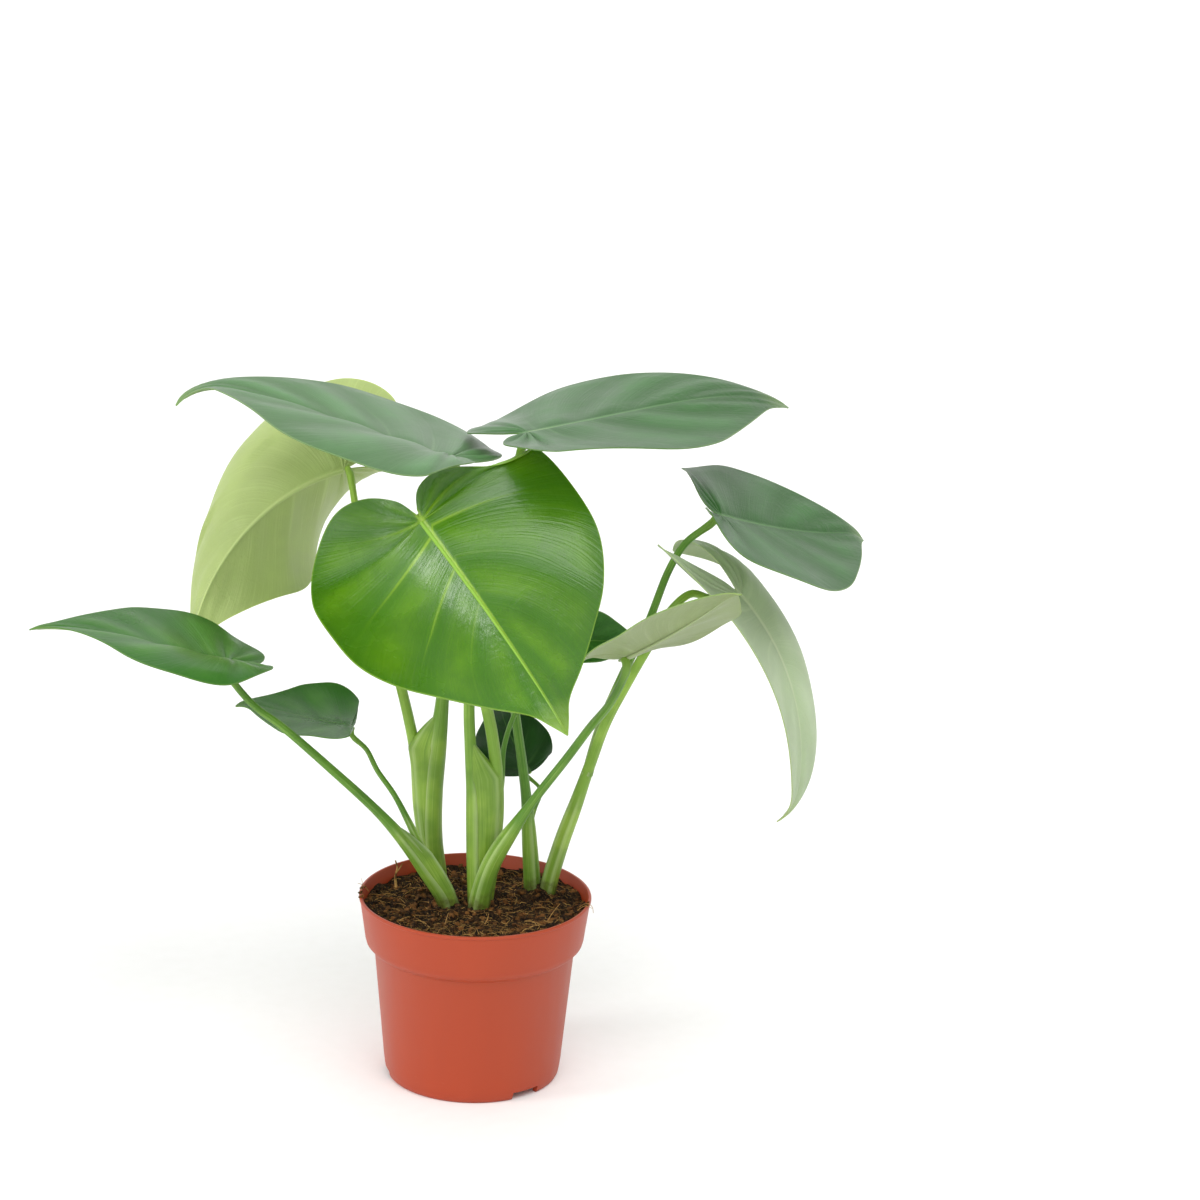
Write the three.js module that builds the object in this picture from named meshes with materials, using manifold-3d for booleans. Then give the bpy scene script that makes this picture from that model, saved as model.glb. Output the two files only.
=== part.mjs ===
// A young swiss cheese plant in its nursery pot: a thin plastic pot on three feet, the soil in it,
// four clumps of leaf stalks and twelve heart-shaped blades, too young to be split.
// Millimetres, +Z up, +Y away from the viewer. The origin is the middle of the pot's underside.

import * as THREE from 'three';
import { ParametricGeometry } from 'three/addons/geometries/ParametricGeometry.js';
import { mergeVertices } from 'three/addons/utils/BufferGeometryUtils.js';
import Module from 'manifold-3d';

const wasm = await Module();
wasm.setup();

// The pot
const POT_HEIGHT = 98;
const RIM_RADIUS = 60;
const WALL = 1.6;
const BAND_FOOT_RADIUS = 56.6; // the upright band under the rim, at its lower end
const BAND_FOOT_HEIGHT = 75;
const BODY_TOP_RADIUS = 51.8; // the body steps in under the band
const BODY_TOP_HEIGHT = 69.5;
const BODY_FOOT_RADIUS = 45.6;
const FOOT_RADIUS = 43.4;
const FOOT_HEIGHT = 4.2;
const FOOT_GAP_CENTRES = [70, 190, 310]; // degrees round the pot
const FOOT_GAP_WIDTH = 16;
const CENTRE_DISC_RADIUS = 22; // the middle of the floor stands as low as the feet
const DRAIN_COUNT = 6;
const DRAIN_RADIUS = 3.5;
const DRAIN_CIRCLE = 32;
const POT_SIDES = 42;

// The soil
const GAP = 0.3; // between neighbouring pieces
const SOIL_LEVEL = 90;
const SOIL_FRONT_HEAP = 5.5;
const SOIL_ROUGHNESS = 1.3;
const STEM_FOOT = 76; // how far down the stalks stand in the soil

// The blades
const BLADE_THICKNESS = 0.7;
const EDGE_WAVE = 1.2;
const SPINE_STEPS = 58;
const SPINE_START = -0.45; // as a share of the length, behind the joint
const HOOK_START = 0.78;
const STALK_SIDES = 8;

// Half of a blade's outline, from the joint round the lobe to the tip: along the midrib as a
// share of the length, and across as a share of half the width.
const HALF_OUTLINE = [
  [-0.02, 0.012], [-0.1, 0.08], [-0.17, 0.25], [-0.19, 0.45], [-0.15, 0.64], [-0.05, 0.86],
  [0.06, 0.98], [0.22, 1], [0.36, 0.95], [0.5, 0.8], [0.63, 0.57], [0.76, 0.34],
  [0.87, 0.15], [0.95, 0.06], [1, 0],
];

const COLOURS = {
  pot: '#bb5338',
  soil: '#3d2c1e',
  stalk: '#7fa648',
  darkStalk: '#5f8d3e',
  dark: '#4d7a4a',
  deep: '#3c6b3a',
  bright: '#5fa81a',
  young: '#a4c24c',
  pale: '#a9c095',
};

// joint is where stalk and blade meet. heading turns the midrib from +X, pitch lifts it and roll
// turns the blade about it. droop bends the midrib down by that many degrees, later on where
// droopLate is more than 1, sway bends it sideways and twist turns it. Three are for the left and
// the right half: lobes bends the part behind the joint down, fold and curl lift from the midrib.
// sweep draws the lobes back and lobeLength makes them longer or shorter. hook bends the tip's
// last part down and aside by that many degrees.
const BLADES = {
  leaf_upper_left: {
    joint: [-14, -10, 333], heading: 167, pitch: 14, roll: -18, length: 152, width: 142,
    droop: 24, droopLate: 4, lobes: [-20, -30], sway: -5, twist: 12, fold: [9, 14],
    curl: [-38, -8], hook: [36, 46], lobeLength: 0.55,
    rows: 16, columns: 4, colour: COLOURS.dark,
  },
  leaf_back_left: {
    joint: [-72, 65, 306], heading: 199, pitch: -11, roll: -56, length: 134, width: 130,
    droop: 72, droopLate: 1, lobes: [19, 19], sway: 14, twist: -89, fold: [48, 11], curl: [84, 20],
    rows: 16, columns: 4, colour: COLOURS.young,
  },
  leaf_upper_right: {
    joint: [19, 5, 344], heading: 22, pitch: 6, roll: -2, length: 158, width: 138,
    droop: 36, droopLate: 4, lobes: [-12, -12], sway: 14, twist: -25, fold: [-8, 2], curl: [-12, 16],
    rows: 16, columns: 4, colour: COLOURS.dark,
  },
  leaf_front: {
    joint: [-29.8, -44, 313.3], heading: -42, pitch: -37, roll: -6, length: 146, width: 150,
    droop: -14, droopLate: 1, lobes: [-59, -10], sway: -22, twist: 39, fold: [34, -74],
    curl: [-16, 70], hook: [29, 23],
    rows: 16, columns: 4, colour: COLOURS.bright,
  },
  leaf_low_left: {
    joint: [-124, -30, 230], heading: 188, pitch: 15, roll: -15, length: 102, width: 100,
    droop: 26, droopLate: 4, lobes: [-10, -10], sway: -8, twist: 9, fold: [15, 12], curl: [-50, 12],
    rows: 14, columns: 3, colour: COLOURS.deep,
  },
  leaf_small_left: {
    joint: [-65.1, 18, 181.7], heading: 179, pitch: 8, roll: -12, length: 62, width: 77,
    droop: -6, droopLate: 1, lobes: [-1, 3], sway: -6, twist: 23, fold: [1, -6],
    curl: [-2, 49], hook: [38, 16], lobeLength: 0.07,
    rows: 12, columns: 3, colour: COLOURS.deep,
  },
  leaf_small_back: {
    joint: [44.5, 40, 223.7], heading: 12, pitch: -1, roll: -57, length: 40, width: 36,
    droop: 5, droopLate: 1, lobes: [-32, 14], sway: 1, twist: 12, fold: [35, 23],
    curl: [28, 20], rows: 12, columns: 3, colour: COLOURS.deep,
  },
  leaf_small_middle: {
    joint: [26.4, 44, 150], heading: 147, pitch: 52, roll: 11, length: 53, width: 42,
    droop: 40, droopLate: 1, lobes: [0, 0], sway: -62, twist: 3, fold: [-2, 6],
    curl: [-2, -21], hook: [44, 30], sweep: -0.11, lobeLength: 0.15,
    rows: 12, columns: 3, colour: COLOURS.deep,
  },
  leaf_right: {
    joint: [118.4, 15, 301.6], heading: 23, pitch: -20, roll: -10, length: 107, width: 119,
    droop: -12, droopLate: 1, lobes: [-60, -60], sway: 32, twist: -24, fold: [11, 2],
    curl: [-22, -5], hook: [30, 2], lobeLength: 0.8,
    rows: 14, columns: 3, colour: COLOURS.dark,
  },
  leaf_right_drooping: {
    joint: [129.7, 13, 261.6], heading: -17, pitch: -43, roll: -1, length: 135, width: 98,
    droop: 65, droopLate: 1, lobes: [34, -2], sway: -13, twist: 16, fold: [27, -10],
    curl: [-88, 40], hook: [31, 8], sweep: 0.38, lobeLength: 0.42,
    rows: 16, columns: 3, colour: COLOURS.pale,
  },
  leaf_right_pale: {
    joint: [72.8, -55, 247.1], heading: -26, pitch: 32, roll: 5, length: 87, width: 93,
    droop: -9, droopLate: 1, lobes: [18, -43], sway: -26, twist: -5, fold: [1, 22],
    curl: [-13, -30], hook: [29, -1], sweep: -0.05, lobeLength: 0.72,
    rows: 14, columns: 3, colour: COLOURS.pale,
  },
  leaf_back_middle: {
    joint: [10, 45, 284], heading: 80, pitch: -5, roll: 0, length: 78, width: 70,
    droop: 25, droopLate: 1, lobes: [0, 0], sway: 0, twist: 0, fold: [10, 10], curl: [-15, -15],
    rows: 14, columns: 3, colour: COLOURS.dark,
  },
};

// Each clump's stalks. path runs from the soil, or from inside the stalk that holds this one's
// foot, up to the blade. radii are at the foot, at the end of the sheath, just above it and at
// the blade, and sheath is the share of the length where the sheath ends.
const CLUMPS = {
  stalks_front_left: {
    colour: COLOURS.stalk,
    stalks: [
      {
        blade: 'leaf_low_left', inSoil: true, radii: [6.4, 3.6, 2.5, 1.7], sheath: 0.34,
        path: [[-14, 0, 92], [-26, -4, 113], [-39, -8, 132], [-51, -12, 147], [-74, -18, 171],
          [-99, -25, 196], [-113, -28, 208]],
      },
      {
        blade: 'leaf_small_left', radii: [3, 2, 1.5, 1.2], sheath: 0.45,
        path: [[-13, 1, 96], [-29, 1, 124], [-36, 4, 137], [-43, 7, 149], [-52, 12, 160],
          [-58, 16, 170]],
      },
    ],
  },
  stalks_back_left: {
    colour: COLOURS.stalk,
    stalks: [
      {
        blade: 'leaf_upper_left', inSoil: true, radii: [5.8, 5.4, 3.4, 2.1], sheath: 0.36,
        path: [[-21, 28, 92], [-24, 28, 118], [-24, 28, 145], [-20, 28, 191], [-17, 24, 238],
          [-15, 20, 284], [-14, 19, 306], [-14, 14, 320], [-15, 2, 329]],
      },
      {
        blade: 'leaf_back_left', radii: [4.8, 4.4, 3, 1.7], sheath: 0.25,
        path: [[-23, 28, 96], [-29, 29, 130], [-33, 31, 162], [-41, 36, 196], [-51, 44, 226],
          [-59, 51, 255], [-66, 56, 282]],
      },
    ],
  },
  stalks_middle: {
    colour: COLOURS.stalk,
    stalks: [
      {
        blade: 'leaf_upper_right', inSoil: true, radii: [5, 5.2, 3, 2], sheath: 0.3,
        path: [[1, 1, 92], [0, 1, 120], [-1, 1, 150], [-4, 1, 179], [-5, 3, 208], [-1, 6, 255],
          [9, 9, 302]],
      },
      {
        blade: 'leaf_front', inSoil: true, radii: [4.4, 4, 3.2, 2.3], sheath: 0.3,
        path: [[5, 4, 92], [8, 4, 118], [10, 4, 145], [9, 3, 170], [4, 0, 200], [-7, -7, 240],
          [-18, -19, 275], [-24, -29, 300]],
      },
      {
        blade: 'leaf_right_pale', inSoil: true, radii: [6, 4.4, 2.4, 2], sheath: 0.33,
        path: [[2, -5, 92], [8, -7, 117], [21, -9, 141], [30, -12, 156], [45, -20, 180],
          [57, -32, 202], [67, -47, 221]],
      },
      {
        blade: 'leaf_small_back', radii: [2, 1.8, 1.4, 1.2], sheath: 0.2,
        path: [[9, 4, 138], [12, 9, 156], [13, 15, 174], [19, 24, 191], [32, 34, 208]],
      },
    ],
  },
  stalks_right: {
    colour: COLOURS.darkStalk,
    stalks: [
      {
        blade: 'leaf_back_middle', inSoil: true, radii: [4.8, 3.9, 2.7, 1.7], sheath: 0.26,
        path: [[29, 22, 92], [27, 23, 118], [25, 25, 141], [22, 28, 162], [18, 32, 187],
          [14, 37, 224], [11, 41, 260]],
      },
      {
        blade: 'leaf_small_middle', radii: [1.6, 1.2, 1, 0.9], sheath: 0.3,
        path: [[26, 24, 124], [29, 30, 134], [32, 38, 142]],
      },
      {
        blade: 'leaf_right_drooping', inSoil: true, radii: [4.6, 4, 3, 1.8], sheath: 0.3,
        path: [[37, 21, 92], [43, 20, 118], [51, 17, 144], [58, 13, 168], [65, 8, 191],
          [75, 5, 213], [85, 3, 233], [97, -1, 256], [106, 5, 262], [117, 14, 257]],
      },
      {
        blade: 'leaf_right', radii: [3, 2.6, 2.2, 1.8], sheath: 0.3,
        path: [[56, 14, 160], [62, 16, 184], [73, 17, 214], [85, 17, 242], [95, 17, 271],
          [103, 15, 286]],
      },
    ],
  },
};

const UP = new THREE.Vector3(0, 0, 1);
const radians = THREE.MathUtils.degToRad;
const mix = THREE.MathUtils.lerp;
const clamp = THREE.MathUtils.clamp;

// A closed geometry as a solid, for joining and cutting.
function toSolid(geometry) {
  const bare = geometry.clone();
  for (const name of Object.keys(bare.attributes)) {
    if (name !== 'position') {
      bare.deleteAttribute(name);
    }
  }
  const merged = mergeVertices(bare, 1e-4);
  return new wasm.Manifold(new wasm.Mesh({
    numProp: 3,
    vertProperties: new Float32Array(merged.attributes.position.array),
    triVerts: new Uint32Array(merged.index.array),
  }));
}

function toGeometry(solid) {
  const mesh = solid.getMesh();
  const geometry = new THREE.BufferGeometry();
  geometry.setAttribute('position', new THREE.BufferAttribute(new Float32Array(mesh.vertProperties), 3));
  geometry.setIndex(new THREE.BufferAttribute(new Uint32Array(mesh.triVerts), 1));
  geometry.computeVertexNormals();
  return geometry;
}

function piece(name, geometry, colour, roughness) {
  const material = new THREE.MeshStandardMaterial({ color: colour, roughness, metalness: 0 });
  const mesh = new THREE.Mesh(geometry, material);
  mesh.name = name;
  return mesh;
}

// A repeatable rough value between -1 and 1 for a place on the soil.
function roughness(x, y) {
  const along = Math.sin(0.31 * x + 1.7 * Math.sin(0.23 * y));
  const aside = Math.sin(0.37 * y + 1.3 * Math.sin(0.29 * x));
  return 0.5 * (along + aside);
}

// A turned solid whose axis is +Z, from a closed profile of [radius, height] points.
function turned(profile, sides) {
  const points = profile.map(([radius, height]) => new THREE.Vector2(radius, height));
  const geometry = new THREE.LatheGeometry(points, sides);
  geometry.rotateX(Math.PI / 2);
  return geometry;
}

// The pot's inner wall, which the soil fills.
function innerWall(clearance) {
  return [
    [BODY_FOOT_RADIUS - WALL - clearance, FOOT_HEIGHT + WALL + clearance],
    [BODY_TOP_RADIUS - WALL - clearance, BODY_TOP_HEIGHT],
    [BAND_FOOT_RADIUS - WALL - clearance, BAND_FOOT_HEIGHT],
    [RIM_RADIUS - WALL - clearance, POT_HEIGHT],
  ];
}

function makePot() {
  const floorTop = FOOT_HEIGHT + WALL;
  const outside = [
    [0, 0],
    [CENTRE_DISC_RADIUS, 0],
    [CENTRE_DISC_RADIUS + 1.5, FOOT_HEIGHT],
    [FOOT_RADIUS - 2.6, FOOT_HEIGHT],
    [FOOT_RADIUS - 2, 0],
    [FOOT_RADIUS, 0],
    [FOOT_RADIUS + 1.4, 1.4],
    [BODY_FOOT_RADIUS, 5],
    [BODY_TOP_RADIUS, BODY_TOP_HEIGHT],
    [BAND_FOOT_RADIUS - 1, BAND_FOOT_HEIGHT - 2.6],
    [BAND_FOOT_RADIUS, BAND_FOOT_HEIGHT],
    [RIM_RADIUS, POT_HEIGHT - 0.6],
    [RIM_RADIUS - 0.5, POT_HEIGHT],
  ];
  const inside = [
    ...innerWall(0).reverse(),
    [CENTRE_DISC_RADIUS + 2.6, floorTop],
    [CENTRE_DISC_RADIUS + 1, WALL],
    [0, WALL],
  ];
  let pot = toSolid(turned([...outside, ...inside], POT_SIDES));
  for (const centre of FOOT_GAP_CENTRES) {
    const notch = new THREE.BoxGeometry(14, FOOT_GAP_WIDTH, 2 * FOOT_HEIGHT);
    notch.translate(FOOT_RADIUS, 0, 0);
    notch.rotateZ(radians(centre));
    pot = pot.subtract(toSolid(notch));
  }
  for (let i = 0; i < DRAIN_COUNT; i += 1) {
    const drain = new THREE.CylinderGeometry(DRAIN_RADIUS, DRAIN_RADIUS, 6 * WALL, 10);
    drain.rotateX(Math.PI / 2);
    drain.translate(DRAIN_CIRCLE, 0, FOOT_HEIGHT);
    drain.rotateZ(((i + 0.5) * 2 * Math.PI) / DRAIN_COUNT);
    pot = pot.subtract(toSolid(drain));
  }
  return toGeometry(pot);
}

// The soil's height at a place: lower in the middle and heaped towards the front of the rim.
function soilHeight(x, y) {
  const out = Math.hypot(x, y) / RIM_RADIUS;
  const front = clamp(-y / RIM_RADIUS, 0, 1) * out ** 3;
  return SOIL_LEVEL + 1.5 * out ** 2 + SOIL_FRONT_HEAP * front + SOIL_ROUGHNESS * roughness(x, y);
}

function makeSoil() {
  const wall = innerWall(GAP);
  const rings = 7;
  const edge = wall[3][0];
  const profile = [[0, FOOT_HEIGHT + WALL + GAP], wall[0], wall[1], wall[2]];
  for (let i = 0; i <= rings; i += 1) {
    profile.push([edge * (1 - i / rings), SOIL_LEVEL]);
  }
  const geometry = turned(profile, POT_SIDES);
  const place = geometry.attributes.position;
  for (let i = 0; i < place.count; i += 1) {
    if (place.getZ(i) > SOIL_LEVEL - 1) {
      const [x, y] = [place.getX(i), place.getY(i)];
      const height = soilHeight(x, y);
      const up = (height - BAND_FOOT_HEIGHT) / (POT_HEIGHT - BAND_FOOT_HEIGHT);
      const inwards = mix(wall[2][0], edge, up) / edge;
      place.setXYZ(i, x * inwards, y * inwards, height);
    }
  }
  let soil = toSolid(geometry);
  for (const clump of Object.values(CLUMPS)) {
    for (const stalk of clump.stalks.filter((one) => one.inSoil)) {
      const radius = stalk.radii[0] + 2.5 * GAP;
      const hole = new THREE.CylinderGeometry(radius, radius, 60, 12);
      hole.rotateX(Math.PI / 2);
      hole.translate(stalk.path[0][0], stalk.path[0][1], STEM_FOOT - GAP + 30);
      soil = soil.subtract(toSolid(hole));
    }
  }
  return toGeometry(soil);
}

// The midrib's place, side and upward direction at even steps along the blade, drawn on behind
// the joint as one half's lobe needs: half 0 is the left one and 1 the right one.
function bladeSpine(blade, half) {
  const step = (1 - SPINE_START) / SPINE_STEPS;
  const spine = [];
  let point = new THREE.Vector3();
  let before = null;
  for (let i = 0; i <= SPINE_STEPS; i += 1) {
    const share = SPINE_START + i * step;
    const ahead = Math.max(share, 0);
    const behind = Math.max(-share, 0);
    const bend = Math.max((share - HOOK_START) / (1 - HOOK_START), 0) ** 1.5;
    const [down, aside] = blade.hook || [0, 0];
    const droop = blade.droop * ahead ** blade.droopLate + down * bend;
    const pitch = radians(blade.pitch - droop + (blade.lobes[half] * behind) / 0.2);
    const heading = radians(blade.heading + blade.sway * share + aside * bend);
    const roll = radians(blade.roll + blade.twist * share);
    const forward = new THREE.Vector3(
      Math.cos(heading) * Math.cos(pitch), Math.sin(heading) * Math.cos(pitch), Math.sin(pitch),
    );
    const lift = new THREE.Vector3(
      -Math.cos(heading) * Math.sin(pitch), -Math.sin(heading) * Math.sin(pitch), Math.cos(pitch),
    );
    const level = new THREE.Vector3().crossVectors(lift, forward);
    const up = lift.multiplyScalar(Math.cos(roll)).addScaledVector(level, Math.sin(roll));
    const side = new THREE.Vector3().crossVectors(up, forward);
    if (before) {
      const middle = before.clone().add(forward).multiplyScalar(0.5 * step * blade.length);
      point = point.clone().add(middle);
    }
    before = forward;
    spine.push({ point, side, up });
  }
  const shift = new THREE.Vector3(...blade.joint).sub(spineAt(spine, 0).point);
  return spine.map((one) => ({ ...one, point: one.point.clone().add(shift) }));
}

function spineAt(spine, share) {
  const place = clamp((share - SPINE_START) / (1 - SPINE_START), 0, 1) * SPINE_STEPS;
  const low = Math.min(Math.floor(place), SPINE_STEPS - 1);
  const part = place - low;
  const between = (key) => spine[low][key].clone().lerp(spine[low + 1][key], part);
  return { point: between('point'), side: between('side').normalize(), up: between('up').normalize() };
}

// Where a side vein leaves the midrib, for a place on the edge.
function veinFoot(round) {
  const base = 0.42;
  return 0.02 * Math.min(round / base, 1) + 0.98 * clamp((round - base) / (1 - base), 0, 1) ** 1.15;
}

// A point of the blade: round goes from the joint along the edge to the tip, and across from
// the midrib to the edge, negative on the right half. rise lifts it off the middle surface.
function bladePoint(blade, spines, outline, round, across, target) {
  const edge = outline.getPoint(round);
  const out = Math.abs(across);
  const half = blade.width / 2;
  const reach = edge.y * (half - 0.4) + 0.4 * round;
  const drawn = edge.x < 0 ? edge.x * (blade.lobeLength || 1) : edge.x;
  const swept = drawn - (blade.sweep || 0) * edge.y * (1 - Math.abs(drawn));
  const foot = veinFoot(round);
  const share = foot + (swept - foot) * out ** 1.4;
  const hand = across > 0 ? 0 : 1;
  const along = spineAt(spines[hand], share);
  const width = reach * out;
  const fold = radians(blade.fold[hand]);
  const curl = radians(blade.curl[hand]);
  const turn = (curl * width) / half;
  const sideways = (half / curl) * (Math.sin(fold + turn) - Math.sin(fold));
  const wave = EDGE_WAVE * (width / half) ** 3 * Math.sin(8 * Math.PI * round + 2 * hand);
  const lift = (half / curl) * (Math.cos(fold) - Math.cos(fold + turn)) + wave;
  target.copy(along.point);
  target.addScaledVector(along.side, Math.sign(across) * sideways);
  target.addScaledVector(along.up, lift);
}

// A blade as a thin closed solid: the same triangles on both faces and a wall round the edge.
function makeBlade(blade) {
  const spines = [bladeSpine(blade, 0), bladeSpine(blade, 1)];
  const outline = new THREE.SplineCurve(HALF_OUTLINE.map(([x, y]) => new THREE.Vector2(x, y)));
  const columns = 2 * blade.columns;
  const surface = new ParametricGeometry(
    (u, v, target) => bladePoint(blade, spines, outline, v, 2 * u - 1, target), columns, blade.rows,
  );
  surface.computeVertexNormals();
  const place = surface.attributes.position;
  const normal = surface.attributes.normal;
  const count = place.count;
  const positions = [];
  for (const face of [0.5, -0.5]) {
    for (let i = 0; i < count; i += 1) {
      const thick = face * BLADE_THICKNESS;
      positions.push(
        place.getX(i) + thick * normal.getX(i),
        place.getY(i) + thick * normal.getY(i),
        place.getZ(i) + thick * normal.getZ(i),
      );
    }
  }
  const faces = Array.from(surface.index.array);
  const index = [];
  for (let i = 0; i < faces.length; i += 3) {
    const [a, b, c] = faces.slice(i, i + 3);
    index.push(a, b, c, a + count, c + count, b + count);
  }
  const rim = [];
  for (let i = 0; i < columns; i += 1) {
    rim.push(i);
  }
  for (let j = 0; j < blade.rows; j += 1) {
    rim.push(j * (columns + 1) + columns);
  }
  for (let i = columns; i > 0; i -= 1) {
    rim.push(blade.rows * (columns + 1) + i);
  }
  for (let j = blade.rows; j > 0; j -= 1) {
    rim.push(j * (columns + 1));
  }
  for (let i = 0; i < rim.length; i += 1) {
    const a = rim[i];
    const b = rim[(i + 1) % rim.length];
    index.push(a, a + count, b, b, a + count, b + count);
  }
  const geometry = new THREE.BufferGeometry();
  geometry.setAttribute('position', new THREE.Float32BufferAttribute(positions, 3));
  geometry.setIndex(index);
  return outwards(geometry);
}

// The volume of a closed mesh is negative where its faces point inwards: then they are turned.
function outwards(geometry) {
  const place = geometry.attributes.position;
  const index = geometry.index.array;
  const [a, b, c] = [new THREE.Vector3(), new THREE.Vector3(), new THREE.Vector3()];
  let volume = 0;
  for (let i = 0; i < index.length; i += 3) {
    a.fromBufferAttribute(place, index[i]);
    b.fromBufferAttribute(place, index[i + 1]);
    c.fromBufferAttribute(place, index[i + 2]);
    volume += a.dot(b.cross(c));
  }
  if (volume < 0) {
    for (let i = 0; i < index.length; i += 3) {
      [index[i + 1], index[i + 2]] = [index[i + 2], index[i + 1]];
    }
  }
  geometry.computeVertexNormals();
  return geometry;
}

// A stalk's radius at a share of its length.
function stalkRadius(stalk, share) {
  const [foot, sheathEnd, above, tip] = stalk.radii;
  const step = 0.04;
  if (share < stalk.sheath) {
    return mix(foot, sheathEnd, share / stalk.sheath);
  }
  if (share < stalk.sheath + step) {
    return mix(sheathEnd, above, (share - stalk.sheath) / step);
  }
  return mix(above, tip, (share - stalk.sheath - step) / (1 - stalk.sheath - step));
}

// The stalk's path: straight down into the soil at its foot, and at the top up to the underside
// of its blade, midway between the two halves and with the gap below them.
function stalkCurve(stalk) {
  const blade = BLADES[stalk.blade];
  const { point, side, up } = spineAt(bladeSpine(blade, 0), 0);
  const [left, right] = blade.fold;
  const lean = radians((left - right) / 2);
  const above = up.clone().multiplyScalar(Math.cos(lean)).addScaledVector(side, -Math.sin(lean));
  const dip = 1.2 * stalk.radii[3] * Math.sin(radians(Math.max(0, -(left + right) / 2)));
  const clearance = BLADE_THICKNESS / 2 + 1.5 * GAP + dip;
  const points = stalk.path.map(([x, y, z]) => new THREE.Vector3(x, y, z));
  if (stalk.inSoil) {
    points.unshift(points[0].clone().setZ(STEM_FOOT));
  }
  points.push(point.clone().addScaledVector(above, -clearance - 4));
  points.push(point.clone().addScaledVector(above, -clearance));
  return new THREE.CatmullRomCurve3(points, false, 'centripetal');
}

function makeStalk(stalk) {
  const curve = stalkCurve(stalk);
  const steps = Math.ceil(curve.getLength() / 11);
  const frames = curve.computeFrenetFrames(steps);
  const positions = [];
  const index = [];
  for (let i = 0; i <= steps; i += 1) {
    const centre = curve.getPointAt(i / steps);
    const radius = stalkRadius(stalk, i / steps);
    for (let j = 0; j < STALK_SIDES; j += 1) {
      const angle = (2 * Math.PI * j) / STALK_SIDES;
      const point = centre.clone();
      point.addScaledVector(frames.normals[i], radius * Math.cos(angle));
      point.addScaledVector(frames.binormals[i], radius * Math.sin(angle));
      positions.push(point.x, point.y, point.z);
    }
  }
  for (let i = 0; i < steps; i += 1) {
    for (let j = 0; j < STALK_SIDES; j += 1) {
      const a = i * STALK_SIDES + j;
      const b = i * STALK_SIDES + ((j + 1) % STALK_SIDES);
      index.push(a, b, a + STALK_SIDES, b, b + STALK_SIDES, a + STALK_SIDES);
    }
  }
  for (let j = 1; j < STALK_SIDES - 1; j += 1) {
    const top = steps * STALK_SIDES;
    index.push(0, j + 1, j, top, top + j, top + j + 1);
  }
  const geometry = new THREE.BufferGeometry();
  geometry.setAttribute('position', new THREE.Float32BufferAttribute(positions, 3));
  geometry.setIndex(index);
  return outwards(geometry);
}

// The stalks of a clump, grown together at their feet.
function makeClump(clump) {
  let solid = null;
  for (const stalk of clump.stalks) {
    const one = toSolid(makeStalk(stalk));
    solid = solid ? solid.add(one) : one;
  }
  return toGeometry(solid);
}

const plant = new THREE.Group();
plant.add(piece('pot', makePot(), COLOURS.pot, 0.5));
plant.add(piece('soil', makeSoil(), COLOURS.soil, 0.95));
for (const [name, clump] of Object.entries(CLUMPS)) {
  plant.add(piece(name, makeClump(clump), clump.colour, 0.45));
}
for (const [name, blade] of Object.entries(BLADES)) {
  plant.add(piece(name, makeBlade(blade), blade.colour, 0.4));
}

export default plant;
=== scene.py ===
import math
import random
from functools import partial

import bpy
import numpy as np
from mathutils import Matrix, Vector, noise


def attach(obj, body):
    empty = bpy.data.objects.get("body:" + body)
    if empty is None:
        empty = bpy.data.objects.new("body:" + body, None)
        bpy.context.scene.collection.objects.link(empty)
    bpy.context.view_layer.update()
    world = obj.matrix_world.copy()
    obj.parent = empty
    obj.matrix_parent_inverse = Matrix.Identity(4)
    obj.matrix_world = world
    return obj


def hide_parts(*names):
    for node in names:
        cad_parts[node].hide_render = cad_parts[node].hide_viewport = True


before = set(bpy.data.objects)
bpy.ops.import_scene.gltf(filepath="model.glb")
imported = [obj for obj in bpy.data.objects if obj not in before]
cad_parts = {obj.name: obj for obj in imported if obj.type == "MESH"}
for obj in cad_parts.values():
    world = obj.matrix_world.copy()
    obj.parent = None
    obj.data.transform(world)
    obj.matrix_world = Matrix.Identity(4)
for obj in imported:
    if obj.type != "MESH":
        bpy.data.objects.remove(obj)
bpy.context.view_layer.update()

bl_info = {
    "name": "Potted swiss cheese plant",
    "version": (1, 0, 0),
    "blender": (4, 5, 0),
    "location": "3D View > Sidebar > Plant",
    "description": "A young swiss cheese plant in its nursery pot, with a plain stage",
    "category": "Add Mesh",
}

MM = 0.001

# The pot, in millimetres. These and the plant's own shapes are the CAD part's.
POT_HEIGHT = 98
RIM_RADIUS = 60
WALL = 1.6
BAND_FOOT_RADIUS = 56.6
BAND_FOOT_HEIGHT = 75
BODY_TOP_RADIUS = 51.8
BODY_TOP_HEIGHT = 69.5
BODY_FOOT_RADIUS = 45.6
FOOT_RADIUS = 43.4
FOOT_HEIGHT = 4.2
FOOT_GAP_CENTRES = (70, 190, 310)
FOOT_GAP_WIDTH = 16
FOOT_GAP_DEPTH = 14
CENTRE_DISC_RADIUS = 22
DRAIN_COUNT = 6
DRAIN_RADIUS = 3.5
DRAIN_CIRCLE = 32

SOIL_LEVEL = 90
SOIL_FRONT_HEAP = 5.5
SOIL_ROUGHNESS = 1.3
STEM_FOOT = 76

# A blade's edge waves up and down by so many millimetres, this often on each half, and half
# of its tip is this wide. The lobes bend over the first of these shares of the length, and the
# tip's hook starts at the last one.
EDGE_WAVE = 1.2
EDGE_WAVES = 4
TIP_HALF_WIDTH = 0.4
LOBE_SHARE = 0.2
HOOK_START = 0.78
# The midrib's curve is drawn in this many steps, from this share of the length behind the joint.
SPINE_STEPS = 58
SPINE_START = -0.45
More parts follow.
